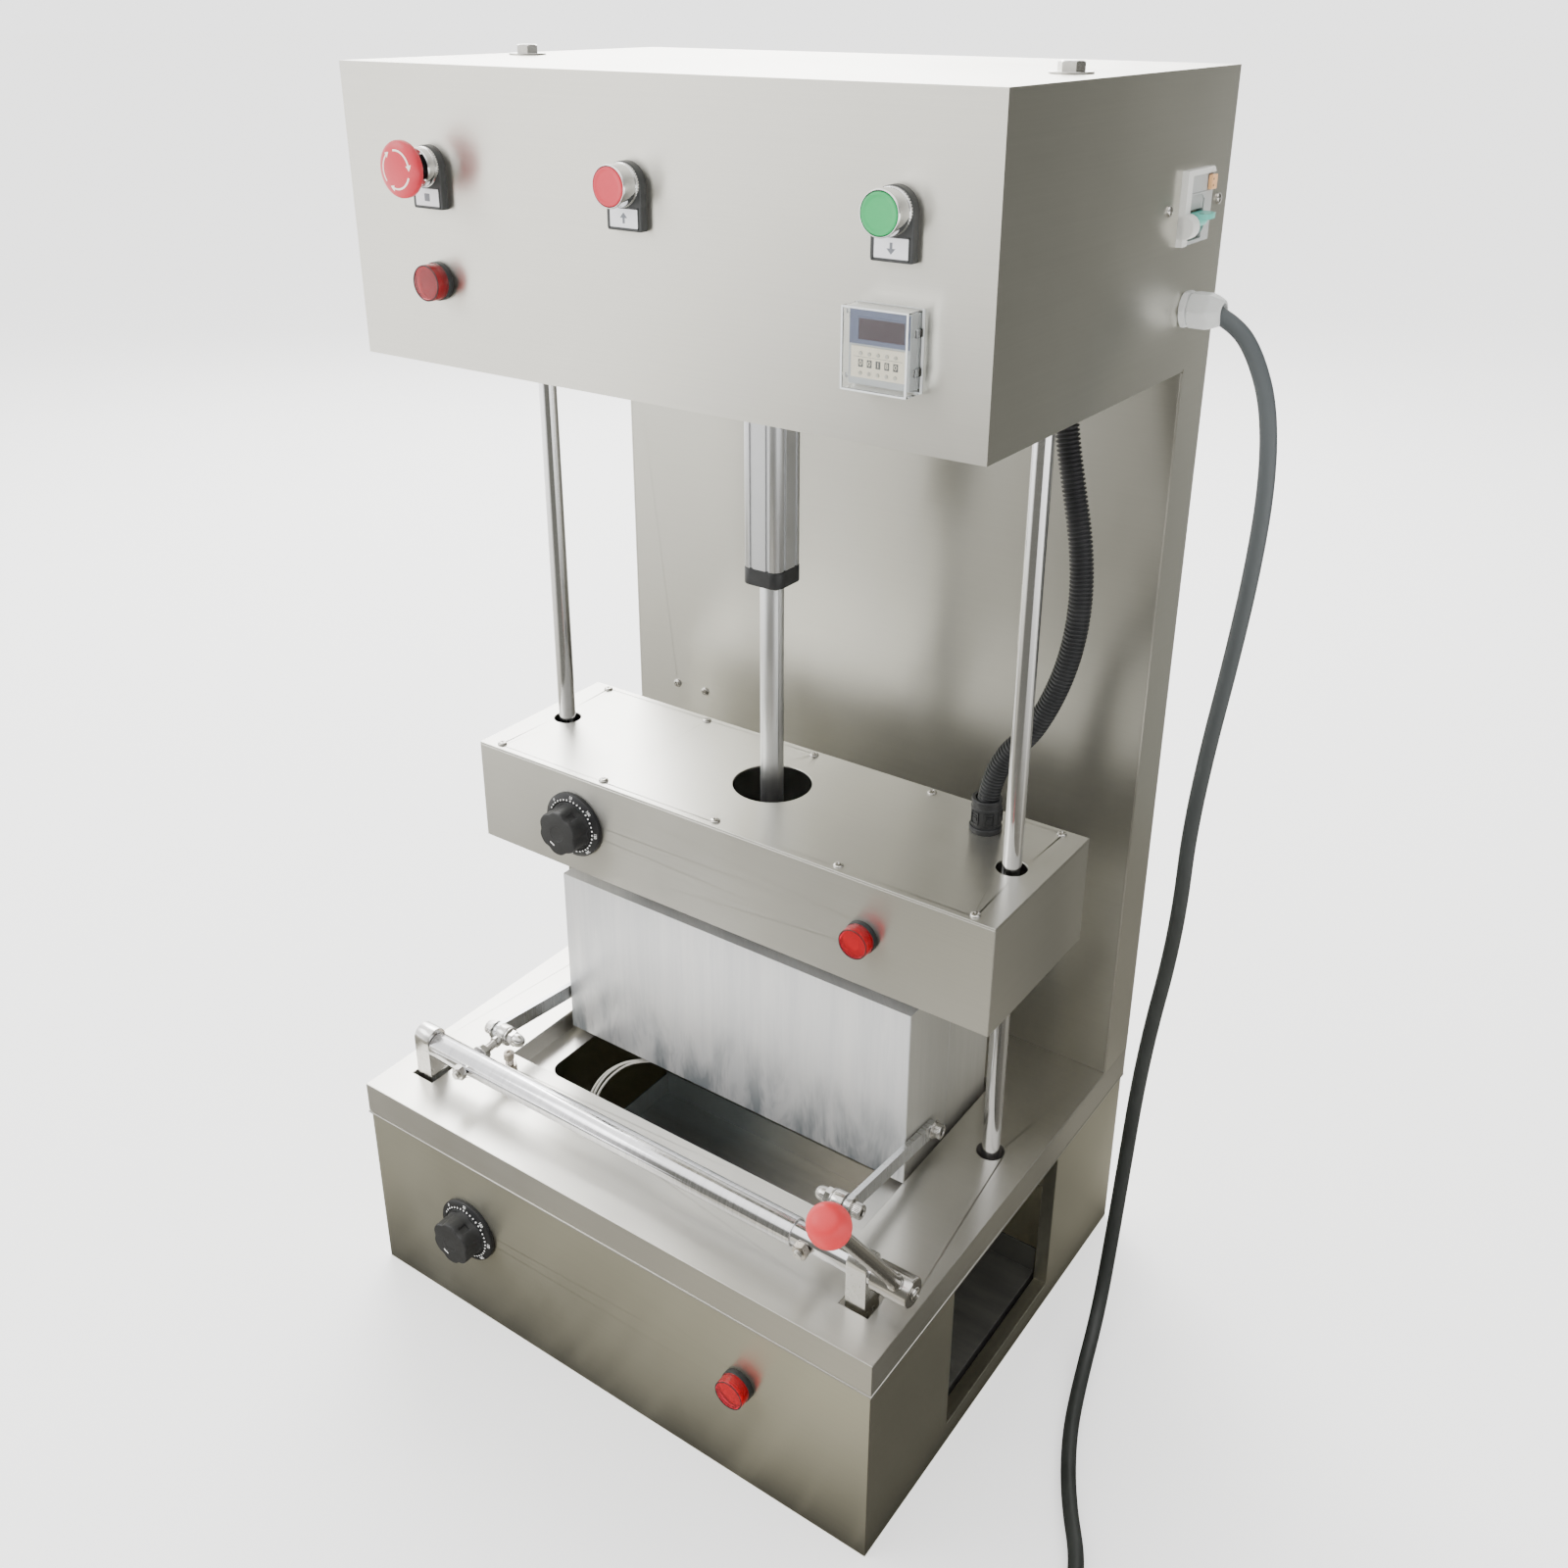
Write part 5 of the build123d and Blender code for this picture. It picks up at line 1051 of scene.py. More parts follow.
# conduit connector on the carriage: flange, body with latch windows, stepped collar
con = Build()
hx, hy, cz1 = 193.4, 302.7, 503.5
co = P(hx, hy, cz1)
con.polar([(9.9, 12), (9.9, 0.1), (13.6, 0.0), (14.0, 0.5), (14.0, 4.3), (13.5, 4.9), (12.4, 5.0), (12.4, 7.4), (12.8, 8.0),
           (12.8, 21.2), (13.1, 21.6), (13.1, 23.0), (12.6, 23.5), (12.6, 27.6), (12.9, 28.0), (12.9, 29.8), (12.3, 30.5),
           (9.7, 30.5), (9.7, 12)], co, UP, seg=72, closed=True)
for ang in (-110, 10, 130, -50):
    a = math.radians(ang)
    u = Vector((-math.sin(a), math.cos(a), 0))
    w = Vector((math.cos(a), math.sin(a), 0))
    centre = co + w * 12.45 * MM + UP * 14.5 * MM
    # a frame round each latch window, and the latch tongue in it
    for (cx, cy, ww, hh) in ((0, 5.2, 8.4, 0.9), (0, -5.2, 8.4, 0.9), (-3.8, 0, 0.9, 10.5), (3.8, 0, 0.9, 10.5), (0, -0.6, 4.6, 3.0), (0, 2.6, 4.6, 0.8)):
        con.prism([(cx - ww / 2, cy - hh / 2), (cx + ww / 2, cy - hh / 2), (cx + ww / 2, cy + hh / 2), (cx - ww / 2, cy + hh / 2)],
                  centre - w * 0.5 * MM, u, UP, 1.35)
con.polar([(10.0, -14), (10.0, 0.2)], co, UP, seg=36)
con.hexagon(co + DOWN * 8 * MM, UP, 26, 6, bore=9.9)
con.make("conduit_connector", [black_fitting], "carriage", "black_plastic", ["hose_connector"], bevel=0.18)


# ================================================================ screws
def cross_head(head_r, head_h, shank_r=1.9, shank=6.0):
    """Pan head with a cross recess, along local z, in metres."""
    head = Build()
    prof = [(shank_r, -shank), (shank_r, -0.02), (head_r * 0.985, 0.0), (head_r, 0.25)]
    for k in range(1, 8):
        t = k / 8
        prof.append((head_r * math.cos(t * math.pi / 2) ** 0.62, 0.25 + (head_h - 0.25) * math.sin(t * math.pi / 2) ** 0.9))
    prof.append((0, head_h))
    head.polar(prof, (0, 0, 0), UP, seg=40)
    arm, half = head_r * 0.54, head_r * 0.135
    cuts = []
    for ang in (0, 90):
        c = Build()
        a = math.radians(ang + 17)
        u, v = Vector((math.cos(a), math.sin(a), 0)), Vector((-math.sin(a), math.cos(a), 0))
        top_o, low_o = UP * (head_h + 0.5) * MM, UP * head_h * 0.28 * MM
        vs = [top_o + u * sx * arm * 1.1 * MM + v * sy * half * 1.15 * MM for sx, sy in ((-1, -1), (1, -1), (1, 1), (-1, 1))]
        vs += [low_o + u * sx * arm * 0.45 * MM + v * sy * half * 0.75 * MM for sx, sy in ((-1, -1), (1, -1), (1, 1), (-1, 1))]
        c.add(vs, [(0, 1, 2, 3), (7, 6, 5, 4), (0, 4, 5, 1), (1, 5, 6, 2), (2, 6, 7, 3), (3, 7, 4, 0)])
        cuts.append(c)
    return carve(head, *cuts)


def put(build, part, origin, axis, turn=0.0, mat=0):
    m = placed(origin, axis) @ Matrix.Rotation(math.radians(turn), 4, 'Z')
    build.add(part[0], part[1], mat, m)


pan_44 = cross_head(4.4, 2.5)
pan_46 = cross_head(4.6, 2.5)
pan_42 = cross_head(4.2, 2.5)

scr = Build()
k = 0
for x in (-251.0, -125.5, 0.0, 125.5, 251.0):
    for y in (180.0, 330.5):
        k += 1
        put(scr, pan_44, P(x, y, cz1), UP, (k * 53) % 90)
scr_obj = scr.make("carriage_cover_screws", [screw_metal], "carriage", "plated_fasteners", ["carriage_screws"], angle=28)
inner = Build()
for x in (-138, -46, 46, 138):
    inner.hexagon(P(x, 260, 417), UP, 32, 12, bore=11.0)
inner.polar([(2.6, 0), (3, 0.4), (3, 43.6), (2.6, 44)], P(-22, 263.5, 436), RIGHT, seg=24)
inner.make("cone_nuts", [bolt_metal], "carriage", "plated_fasteners")

fix = Build()
k = 0
for x in (-272, 272):
    for z in (240, 450, 660, 870, 1080):
        k += 1
        put(fix, pan_44, P(x, 465, z), IN, (k * 37) % 90)
for k, x in enumerate((-229.6, -193.3)):
    put(fix, pan_46, P(x, 415, 485.5), OUT, 20 + 40 * k)
for k, y in enumerate((352.4, 447.0)):
    put(fix, pan_42, P(280, y, 1008), RIGHT, 35 + 30 * k)
for dx in (-13.2, 13.2):
    for dy in (-13.2, 13.2):
        fix.polar([(2.6, 0.1), (2.6, -0.9), (2.2, -1.35), (1.5, -1.4), (1.4, -0.6), (0, -0.6)], P(dx, 263.5 + dy, 696.6), UP, seg=24)
# bolts on top of the guide rods
for x in (-241, 241):
    fix.polar([(5.0, 0), (14.7, 0), (15, 0.25), (15, 1.25), (14.7, 1.5), (5.0, 1.5)], P(x, 259, 1101), UP, seg=64, closed=True)
    fix.hexagon(P(x, 259, 1102.5), UP, 16, 6.5, low=False, phase=math.radians(14))
    fix.polar([(7.1, 6.45), (6.9, 6.62), (0, 6.62)], P(x, 259, 1102.5), UP, seg=48)
    fix.polar([(5.0, 0), (5.0, 26.5)], P(x, 259, 1076), UP, seg=24)
fix.polar([(4.6, 0), (5, 0.4), (5, 37.6), (4.6, 38)], P(-19, 263.5, 1068), RIGHT, seg=24)
fix.polar([(7.2, 0), (7.5, 0.4), (7.5, 2.6), (7.2, 3)], P(-22, 263.5, 1068), RIGHT, seg=32)
fix.make("frame_fixings", [screw_metal], "frame", "plated_fasteners", ["frame_screws"], angle=28)

stop = Build()
so = P(-184.7, 93.7, 212.6)
stop.hexagon(so, UP, 13, 6.5, bore=3.4, phase=math.radians(24))
stop.hexagon(P(-184.7, 93.7, 204.6), UP, 13, 6.5, bore=3.4)
stop.stud(P(-184.7, 93.7, 198), UP, 4.0, 33.2, pitch=1.25, seg=28)
stop.hexagon(so + UP * 12.4 * MM, UP, 9.2, 7.2, bore=2.3, phase=math.radians(6))
stop.polar([(0, -2.2), (2.3, -2.2), (2.3, 0)], so + UP * 19.2 * MM, UP, seg=24, caps=False)
stop.make("linkage_stop", [brown_bolt], "frame", "plated_fasteners", angle=28)


# ================================================================ crank hardware
deg = math.degrees(math.atan2(250.610 - 246, 94.858 - 51))
c6, s6 = math.cos(math.radians(deg)), math.sin(math.radians(deg))
crank_dir = Vector((0, c6, s6))


def on_crank(x, dist):
    return P(x, 51 + c6 * dist, 246 + s6 * dist)


eye_y, eye_z = 94.858, 250.610
eb = Build()
for sx in (-1, 1):
    x = sx * 189.0
    face = 12.0 if sx < 0 else 10.0
    d = Vector((sx, 0, 0))
    # stud through the shaft, nuts each side of it
    eb.stud(on_crank(x, -face - 9.5), crank_dir, 4.0, 44.1 + face + 9.5 - 7.5, pitch=1.25, seg=28)
    eb.hexagon(on_crank(x, -face), -crank_dir, 13, 6.5, bore=3.5, phase=math.radians(9), mat=1 if sx > 0 else 0)
    eb.polar([(3.5, 0), (8.6, 0), (8.8, 0.3), (8.6, 0.9), (3.5, 0.9)], on_crank(x, face - 0.5), crank_dir, seg=40, closed=True)
    eb.hexagon(on_crank(x, face + 0.2), crank_dir, 13, 6.5, bore=3.5, phase=math.radians(21))
    # eye: a round ring with soft edges
    eb.polar([(4.0, 0), (8.3, 0), (9.2, 0.5), (9.5, 1.6), (9.5, 9.3), (9.2, 10.4), (8.3, 10.9), (4.0, 10.9)],
             P(sx * 183.0, eye_y, eye_z), d, seg=48, closed=True)
    eb.polar([(5.4, 0), (5.4, 3.0), (4.6, 5.0)], on_crank(x, 44.1 - 14.0), crank_dir, seg=32)
    # cross bolt: acorn nut, hexagon nut, washers, socket head
    eb.polar([(4.0, 0), (4.0, 33)], P(sx * 168, eye_y, eye_z), d, seg=24)
    eb.hexagon(P(sx * 181.5, eye_y, eye_z), -d, 13, 6.5, bore=3.9, phase=math.radians(5))
    dome = [(6.2, 0)] + [(6.2 * math.cos(math.radians(t)) ** 0.8, 2.2 + 7.6 * math.sin(math.radians(t))) for t in range(0, 90, 10)] + [(0, 9.8)]
    eb.polar(dome, P(sx * 175, eye_y, eye_z), -d, seg=36)
    for px in (181.5, 199.5):
        eb.polar([(4.0, 0), (8.8, 0), (9.0, 0.25), (9.0, 1.25), (8.8, 1.5), (4.0, 1.5)], P(sx * px, eye_y, eye_z), d, seg=48, closed=True)
    # socket head with fine knurling
    eb.polar([(4.0, 0)] + [(6.15, 0.0), ((lambda t: 6.45 + 0.10 * math.cos(36 * t)), 0.5), ((lambda t: 6.45 + 0.10 * math.cos(36 * t)), 8.0),
             (6.0, 8.9), (5.7, 9.0), (3.6, 9.0), (3.35, 8.6)], P(sx * 201, eye_y, eye_z), d, seg=144, caps=False)
    hexr = (lambda t: min(2.9 / math.cos(((t) % (math.pi / 3)) - math.pi / 6), 3.35))
    eb.polar([(3.35, 8.6), (hexr, 8.3), (hexr, 4.6), (0, 4.2)], P(sx * 201, eye_y, eye_z), d, seg=48, caps=False)
eb.make("crank_hardware", [bolt_metal, brown_bolt], "crank", "plated_fasteners", ["eye_bolts"], angle=28)

# socket heads over the screws at the far end of the links
ends = Build()
for sx in (-1, 1):
    d = Vector((sx, 0, 0))
    o = P(sx * 199.25, 229.89, 236.2)
    ends.polar([(6.3, 0.0), ((lambda t: 6.62 + 0.10 * math.cos(36 * t)), 0.5), ((lambda t: 6.62 + 0.10 * math.cos(36 * t)), 7.2),
                (6.2, 8.0), (5.9, 8.1), (3.7, 8.1), (3.15, 7.7)], o, d, seg=144, caps=False)
    hexr = (lambda t: min(2.9 / math.cos(((t) % (math.pi / 3)) - math.pi / 6), 3.15))
    ends.polar([(3.15, 7.7), (hexr, 7.5), (hexr, 4.4), (0, 4.2)], o, d, seg=48, caps=False)
    ends.polar([(4.0, 0), (8.6, 0), (8.8, 0.2), (8.8, 0.9), (8.6, 1.1), (4.0, 1.1)], o, d, seg=48, closed=True)
ends.make("link_end_heads", [bolt_metal], "links", "plated_fasteners", angle=28)

# hand lever: hub on the shaft end, rod with a collar near its foot, recessed end screw
lever_a = math.radians(36)
lever_dir = Vector((0, -math.sin(lever_a), math.cos(lever_a)))
lo = P(271.8, 51, 246)
lev = Build()
lev.polar([(6.05, 0.2), (11.4, 0.0), (12.5, 0.9), (12.5, 32.6), (12.1, 33.5), (11.2, 34.0), (6.0, 34.0)], P(250.5, 51, 246), RIGHT, seg=72, closed=True)
lev.polar([(5.75, 7.0), (5.75, 166.0)], lo, lever_dir, seg=40)
lev.polar([(6.0, 12.2), (6.9, 12.6), (6.9, 13.6), (6.1, 14.6), (5.7, 14.9)], lo, lever_dir, seg=40, caps=False)
hub = Build()
put(hub, cross_head(5.6, 3.2, 2.5, 18), P(284.5, 51, 246), RIGHT, 12)
lev.make("hand_lever", [lever_metal], "crank", "ground_steel", ["lever"], angle=28)
hub.make("lever_end_screw", [bolt_metal], "crank", "plated_fasteners", angle=28)


# ================================================================ thermostat dials and knobs
def dial(name, x, y_face, z, body):
    """A raised dial ring with dots and plain figures, round the knob's skirt."""
    o = P(x, y_face, z)
    ring = Build()
    ring.polar([(24.1, 2.3), (31.0, 2.3), (31.6, 2.7), (31.5, 3.5), (30.9, 4.1), (24.8, 6.1), (24.1, 6.0)], o, OUT, seg=120, closed=True)
    ring.make(name + "_ring", [black_satin], body, "dial_plate", angle=40)
    marks = Build()

    def level(r):
        return 4.1 + (30.9 - r) * 2.0 / 6.1

    def spot(ang, r, part, lift=0.02):
        a = math.radians(ang)
        w = Vector((math.sin(a), 0, math.cos(a)))
        up = (w * 6.1 + OUT * -2.0).normalized()
        right = Vector((math.cos(a), 0, -math.sin(a)))
        n = right.cross(up)
        if n.dot(OUT) < 0:
            n = -n
        m = Matrix((right, up, n)).transposed().to_4x4()
        m.translation = o + w * r * MM + OUT * (level(r) + lift) * MM
        marks.add(part[0], part[1], 0, m)

    dot = Build()
    dot.polar([(0.80, -0.1), (0.80, 0.04), (0.66, 0.08), (0, 0.09)], (0, 0, 0), UP, seg=16)
    dot_part = (dot.v, dot.f)
    for k in range(31):
        spot(-44 + 9.2 * k, 25.7, dot_part)
    for ang in (-62, -53):
        spot(ang, 25.7, dot_part)
    for k, text in enumerate(("0", "50", "100", "150", "200", "250", "300")):
        spot(-44 + 46 * k, 28.6, letters(text, 3.7, 0.05), 0.04)
    marks.make(name + "_marks", [white_mark], body, "dial_plate", angle=40)


def knob(name, x, y_face, z, body, node):
    """Knob with six shallow lobes, a finger notch in one side and a white index line."""
    o = P(x, y_face, z)

    def lobes(base, deep, notch=0.0):
        def r(t):
            d = (t - math.radians(57) + math.pi) % (2 * math.pi) - math.pi
            cut = notch / (1 + math.exp((abs(d) - math.radians(9)) * 90))
            return base - deep * (0.5 - 0.5 * math.cos(6 * (t - math.radians(28)))) ** 2.2 - cut
        return r

    kb = Build()
    kb.polar([(0, 2.8), (23.1, 2.8), (23.5, 3.2), (23.5, 5.9), (23.1, 6.5), (lobes(22.4, 1.7), 6.6), (lobes(22.1, 1.7), 7.2),
              (lobes(21.9, 1.9), 11.6), (lobes(21.9, 1.9, 1.3), 12.1), (lobes(21.8, 1.9, 1.4), 19.6), (lobes(21.8, 1.9), 20.1),
              (lobes(21.8, 2.0), 23.2), (lobes(21.5, 2.0), 24.2), (lobes(20.9, 1.9), 24.8), (lobes(20.0, 1.8), 25.0),
              (7.6, 25.0), (7.3, 24.75), (6.9, 24.7), (0, 24.7)], o, OUT, seg=180)
    kb.make(name, [black_matt], body, "black_plastic", [node], angle=26)
    mark = Build()
    a = math.radians(-152)
    c = o + Vector((math.sin(a) * 12.7 * MM, 0, math.cos(a) * 12.7 * MM)) + OUT * 24.99 * MM
    u = Vector((math.cos(a), 0, -math.sin(a)))
    v = OUT.cross(u)
    mark.prism(rounded(5.8, 1.0, 0.45), c, u, v, 0.12)
    mark.make(name + "_index", [white_mark], body, "black_plastic")


dial("carriage_dial", -156, 172, 453.6, "carriage")
dial("base_dial", -157, 1.6, 103, "frame")
knob("carriage_dial_knob", -156, 172, 453.6, "carriage_dial", "carriage_knob")
knob("base_dial_knob", -157, 1.6, 103, "base_dial", "base_knob")


# ================================================================ pilot lamps
def lamp(name, x, y_face, z, body, lens_mat, core_mat, replaced=()):
    o = P(x, y_face, z)
    col = Build()
    col.polar([(10.9, -36), (10.9, -0.5), (14.0, 0.0), (14.4, 0.4), (14.4, 4.4), (14.1, 4.9), (13.7, 5.1), (13.7, 4.4), (0, 4.4)], o, OUT, seg=72)
    # a thin dark lip round the front of the lens
    col.polar([(12.55, 14.9), (13.25, 14.7), (13.45, 15.05), (13.15, 15.35), (12.65, 15.35)], o, OUT, seg=72, closed=True)
    col.make(name + "_collar", [black_collar], body, "black_plastic", replaced, angle=30)
    core = Build()
    six = (lambda k: (lambda t: k / math.cos(((t + 0.35) % (math.pi / 3)) - math.pi / 6)))
    core.polar([(12.9, 4.5), (12.9, 9.6), (12.2, 10.2), (12.2, 10.9), (six(10.2), 11.3), (six(5.4), 13.3), (six(5.0), 13.3), (0, 12.7)], o, OUT, seg=72)
    core.make(name + "_core", [core_mat], body, "lamp_plastic", angle=18)
    ln = Build()

    def side_r(base):
        def r(t):
            d = (t - math.radians(52) + math.pi) % (2 * math.pi) - math.pi
            return base - 0.45 / (1 + math.exp((abs(d) - 0.035) * 220))
        return r

    ln.polar([(13.15, 4.55), (13.9, 4.6), (13.95, 6.3), (side_r(13.6), 6.6), (side_r(13.55), 13.6), (13.2, 14.6), (12.4, 15.15), (11.9, 15.2),
              (11.5, 14.95), (0, 14.95), (0, 14.15), (11.6, 14.15), (12.6, 13.6), (13.0, 12.8), (13.05, 6.6)], o, OUT, seg=144, closed=True)
    ln.make(name + "_lens", [lens_mat], body, "lamp_plastic", angle=30)


lamp("head_lamp", -190.6, 98, 948, "frame", head_lens, lamp_core_pale, ["pilot_lamps"])
lamp("base_lamp", 154, 1.6, 111, "frame", bright_lens, lamp_core)
lamp("carriage_pilot", 155, 172, 452, "carriage", bright_lens, lamp_core, ["carriage_lamp"])


# ================================================================ push buttons
buttons = (("stop", -190.0, 1031.0), ("rise", 0.0, 1031.0), ("down", 210.5, 1030.0))
hold, lab, sym, bez = Build(), Build(), Build(), Build()


def plate_outline(grow, corner=1.2):
    def r(t):
        c, s = math.cos(t), math.sin(t)
        if s >= 0:
            return 15.2 + grow
        w, h = 15.2 + grow, 30.0 + grow
        rr = min(w / abs(c) if abs(c) > 1e-6 else 1e9, h / abs(s))
        x, y = rr * c, rr * s
        cx, cy = w - corner, h - corner
        if abs(x) > cx and -y > cy:
            # onto the round corner
            best = rr
            lo_, hi_ = 0.0, rr
            for _ in range(24):
                mid = (lo_ + hi_) / 2
                dx, dy = abs(mid * c) - cx, abs(mid * s) - cy
                inside = dx <= 0 or dy <= 0 or dx * dx + dy * dy <= corner * corner
                lo_, hi_ = (mid, hi_) if inside else (lo_, mid)
            best = lo_
            return best
        return rr
    return r


for name, x, z in buttons:
    o = P(x, 98, z)
    out = plate_outline(0.0)
    hold.polar([(11.2, 0.02), (out, 0.02), (out, 5.7), (plate_outline(-0.25), 6.2), (plate_outline(-0.75), 6.5), (11.2, 6.5)], o, OUT, seg=192, closed=True)
    # frame of the label window, and the card in it
    wo = P(x, 98 - 6.5, z - 21.6)
    for cx, cy, w, h in ((0, 6.65, 26.2, 0.9), (0, -6.65, 26.2, 0.9), (-12.65, 0, 0.9, 14.2), (12.65, 0, 0.9, 14.2)):
        hold.prism(rounded(w, h, 0.3, cx, cy, 2), wo - OUT * 0.1 * MM, RIGHT, UP, 0.45)
    lab.prism(rounded(24.2, 12.4, 0.4, 0, 0, 3), wo - OUT * 0.1 * MM, RIGHT, UP, 0.28)
    so = wo + OUT * 0.17 * MM
    if name == "stop":
        sym.prism(rounded(5.6, 5.6, 0.5), so, RIGHT, UP, 0.06)
    else:
        f = 1 if name == "rise" else -1
        pts = [(-1.0, -3.4 * f), (1.0, -3.4 * f), (1.0, 0.2 * f), (3.2, 0.2 * f), (0, 3.8 * f), (-3.2, 0.2 * f), (-1.0, 0.2 * f)]
        sym.prism(pts if f > 0 else pts[::-1], so, RIGHT, UP, 0.06)
    # chrome bezel: notched foot, groove, barrel, bright rim
    tall = 9.5 if name == "stop" else 15.0
    foot = (lambda t: 14.5 - 0.22 * (1 if math.cos(48 * t) > 0.2 else 0))
    prof = [(13.3, 6.45), (foot, 6.5), (foot, 8.4), (13.6, 8.7), (13.55, 9.4), (14.0, 9.7), (14.25, 10.6), (14.3, 6.5 + tall - 1.1),
            (14.1, 6.5 + tall - 0.4), (13.75, 6.5 + tall), (13.35, 6.5 + tall - 0.05), (13.2, 6.5 + tall - 0.5), (13.2, 6.45 + 1.6), (9.0, 6.45 + 1.5), (9.0, 6.45)]
    bez.polar(prof, o, OUT, seg=192, closed=True)
    bez.polar([(8.95, -20), (11.0, -20), (11.0, 6.6), (8.95, 6.6)], o, OUT, seg=48, closed=True)
    bez.hexagon(P(x, 99.5, z), IN, 28, 4, bore=11.0)
hold.make("label_holders", [holder_grey], "frame", "black_plastic", ["label_plates"], angle=24)
lab.make("label_cards", [label_white], "frame", "white_plastic")
sym.make("label_symbols", [symbol_grey], "frame", "black_plastic")
bez.make("button_bezels", [bezel_metal], "frame", "chrome_trim", ["button_collars"], angle=26)

for name, x, z, mat, slot in (("rise", 0.0, 1031.0, red_cap, "red_plastic"), ("down", 210.5, 1030.0, green_cap, "green_plastic")):
    cap = Build()
    cap.polar([(0, -8), (8.7, -8), (8.7, 11.8), (12.6, 11.8), (12.85, 12.2), (12.85, 20.9), (12.6, 21.6), (12.1, 21.95), (10.6, 22.0),
               (10.2, 21.8), (9.0, 21.72), (0, 21.6)], P(x, 98, z), OUT, seg=96)
    cap.make(name + "_cap_round", [mat], name + "_cap", slot, [name + "_button"], angle=30)

# emergency stop: domed mushroom with three curved arrows
mo = P(-190, 98, 1031)


def dome_h(r):
    return 29.4 + 5.8 * (1 - min(1.0, (r / 20.2) ** 2)) ** 0.417


mush = Build()
prof = [(0, 27.4), (5.05, 27.4), (5.05, 21.3), (10.3, 21.3), (10.5, 21.6), (10.5, 23.1), (18.4, 25.1), (19.8, 26.2), (20.2, 27.2), (20.2, 29.4)]
for k in range(1, 16):
    r = 20.2 * math.cos(math.pi / 2 * k / 16)
    prof.append((r, dome_h(r)))
prof.append((0, 35.2))
mush.polar(prof, mo, OUT, seg=120)
mush.make("stop_mushroom", [red_mush], "estop_cap", "red_plastic", ["estop_button"], angle=35)

arr = Build()


def on_dome(r, ang, lift):
    a = math.radians(ang)
    return mo + Vector((math.sin(a) * r * MM, 0, math.cos(a) * r * MM)) + OUT * (dome_h(r) + lift) * MM


def dome_strip(edges, mat=0):
    """edges: list of (inner (r, angle), outer (r, angle)). A thin raised strip on the dome."""
    vs, fs = [], []
    for (r0, a0), (r1, a1) in edges:
        vs += [on_dome(r0, a0, -0.15), on_dome(r1, a1, -0.15), on_dome(r1, a1, 0.10), on_dome(r0, a0, 0.10)]
    n = len(edges)
    for i in range(n - 1):
        b, c = 4 * i, 4 * (i + 1)
        for k in range(4):
            fs.append((b + k, b + (k + 1) % 4, c + (k + 1) % 4, c + k))
    fs += [(3, 2, 1, 0), tuple(4 * (n - 1) + k for k in range(4))]
    arr.add(vs, fs, mat)


for start in (-8, 112, 232):
    sweep = 84
    dome_strip([((12.75, start + sweep * k / 16), (14.05, start + sweep * k / 16)) for k in range(17)])
    a0 = start + sweep - 1
    dome_strip([((13.4 - w, a0 + t), (13.4 + w, a0 + t)) for w, t in ((2.3, 0), (1.75, 4), (1.1, 9), (0.12, 16))])
arr.make("stop_arrows", [cream_mark], "estop_cap", "red_plastic", angle=60)


# ================================================================ timer behind its clear cover
tm = Build()
tm.block(186.2, 230.4, 84.6, 98, 925, 972)
tm.block(187.8, 228.8, 97, 178, 927.5, 969.5)
tm.make("timer_case", [timer_case_grey], "frame", "timer_plastic", ["timer_body"], bevel=0.6)
tf = Build()
tf.block(186.9, 229.7, 84.2, 85, 950.4, 971.4, 0)
for x0, x1, z0, z1 in ((192.6, 193.7, 952.4, 967.4), (226.9, 228.0, 952.4, 967.4), (192.6, 228.0, 966.4, 967.4), (192.6, 228.0, 952.4, 953.4)):
    tf.block(x0, x1, 83.8, 84.6, z0, z1, 0)
tf.make("timer_upper", [timer_blue], "frame", "timer_plastic", bevel=0.2)
tw = Build()
tw.block(193.6, 227.0, 84.05, 84.9, 953.3, 966.5)
tw.make("timer_window_pane", [timer_window], "frame", "timer_plastic", bevel=0.15)
tp = Build()
tp.block(188.6, 227.9, 83.7, 85, 929.6, 949.2)
tp.make("timer_lower", [timer_cream], "frame", "timer_plastic", bevel=0.35)
td, tn, tk = Build(), Build(), Build()
for i, ch in enumerate("00180"):
    xc = 195.9 + 6.34 * i
    td.block(xc - 1.75, xc + 1.75, 83.55, 84.2, 936.4, 941.2)
    m = Matrix((RIGHT, UP, OUT)).transposed().to_4x4()
    m.translation = P(xc, 83.53, 938.8)
    part = letters(ch, 4.6, 0.03)
    tn.add(part[0], part[1], 0, m)
    for zc in (944.9, 932.6):
        tk.polar([(0, 0), (1.25, 0), (1.25, 0.75), (1.05, 1.0), (0.55, 0.85), (0, 0.8)], P(xc, 84, zc), OUT, seg=24)
td.block(190.6, 225.9, 83.62, 84.0, 942.6, 942.85)
td.make("timer_windows", [timer_dark], "frame", "timer_plastic", bevel=0.12)
tn.make("timer_figures", [timer_cream], "frame", "timer_plastic")
tk.make("timer_keys", [timer_key], "frame", "timer_plastic", angle=40)
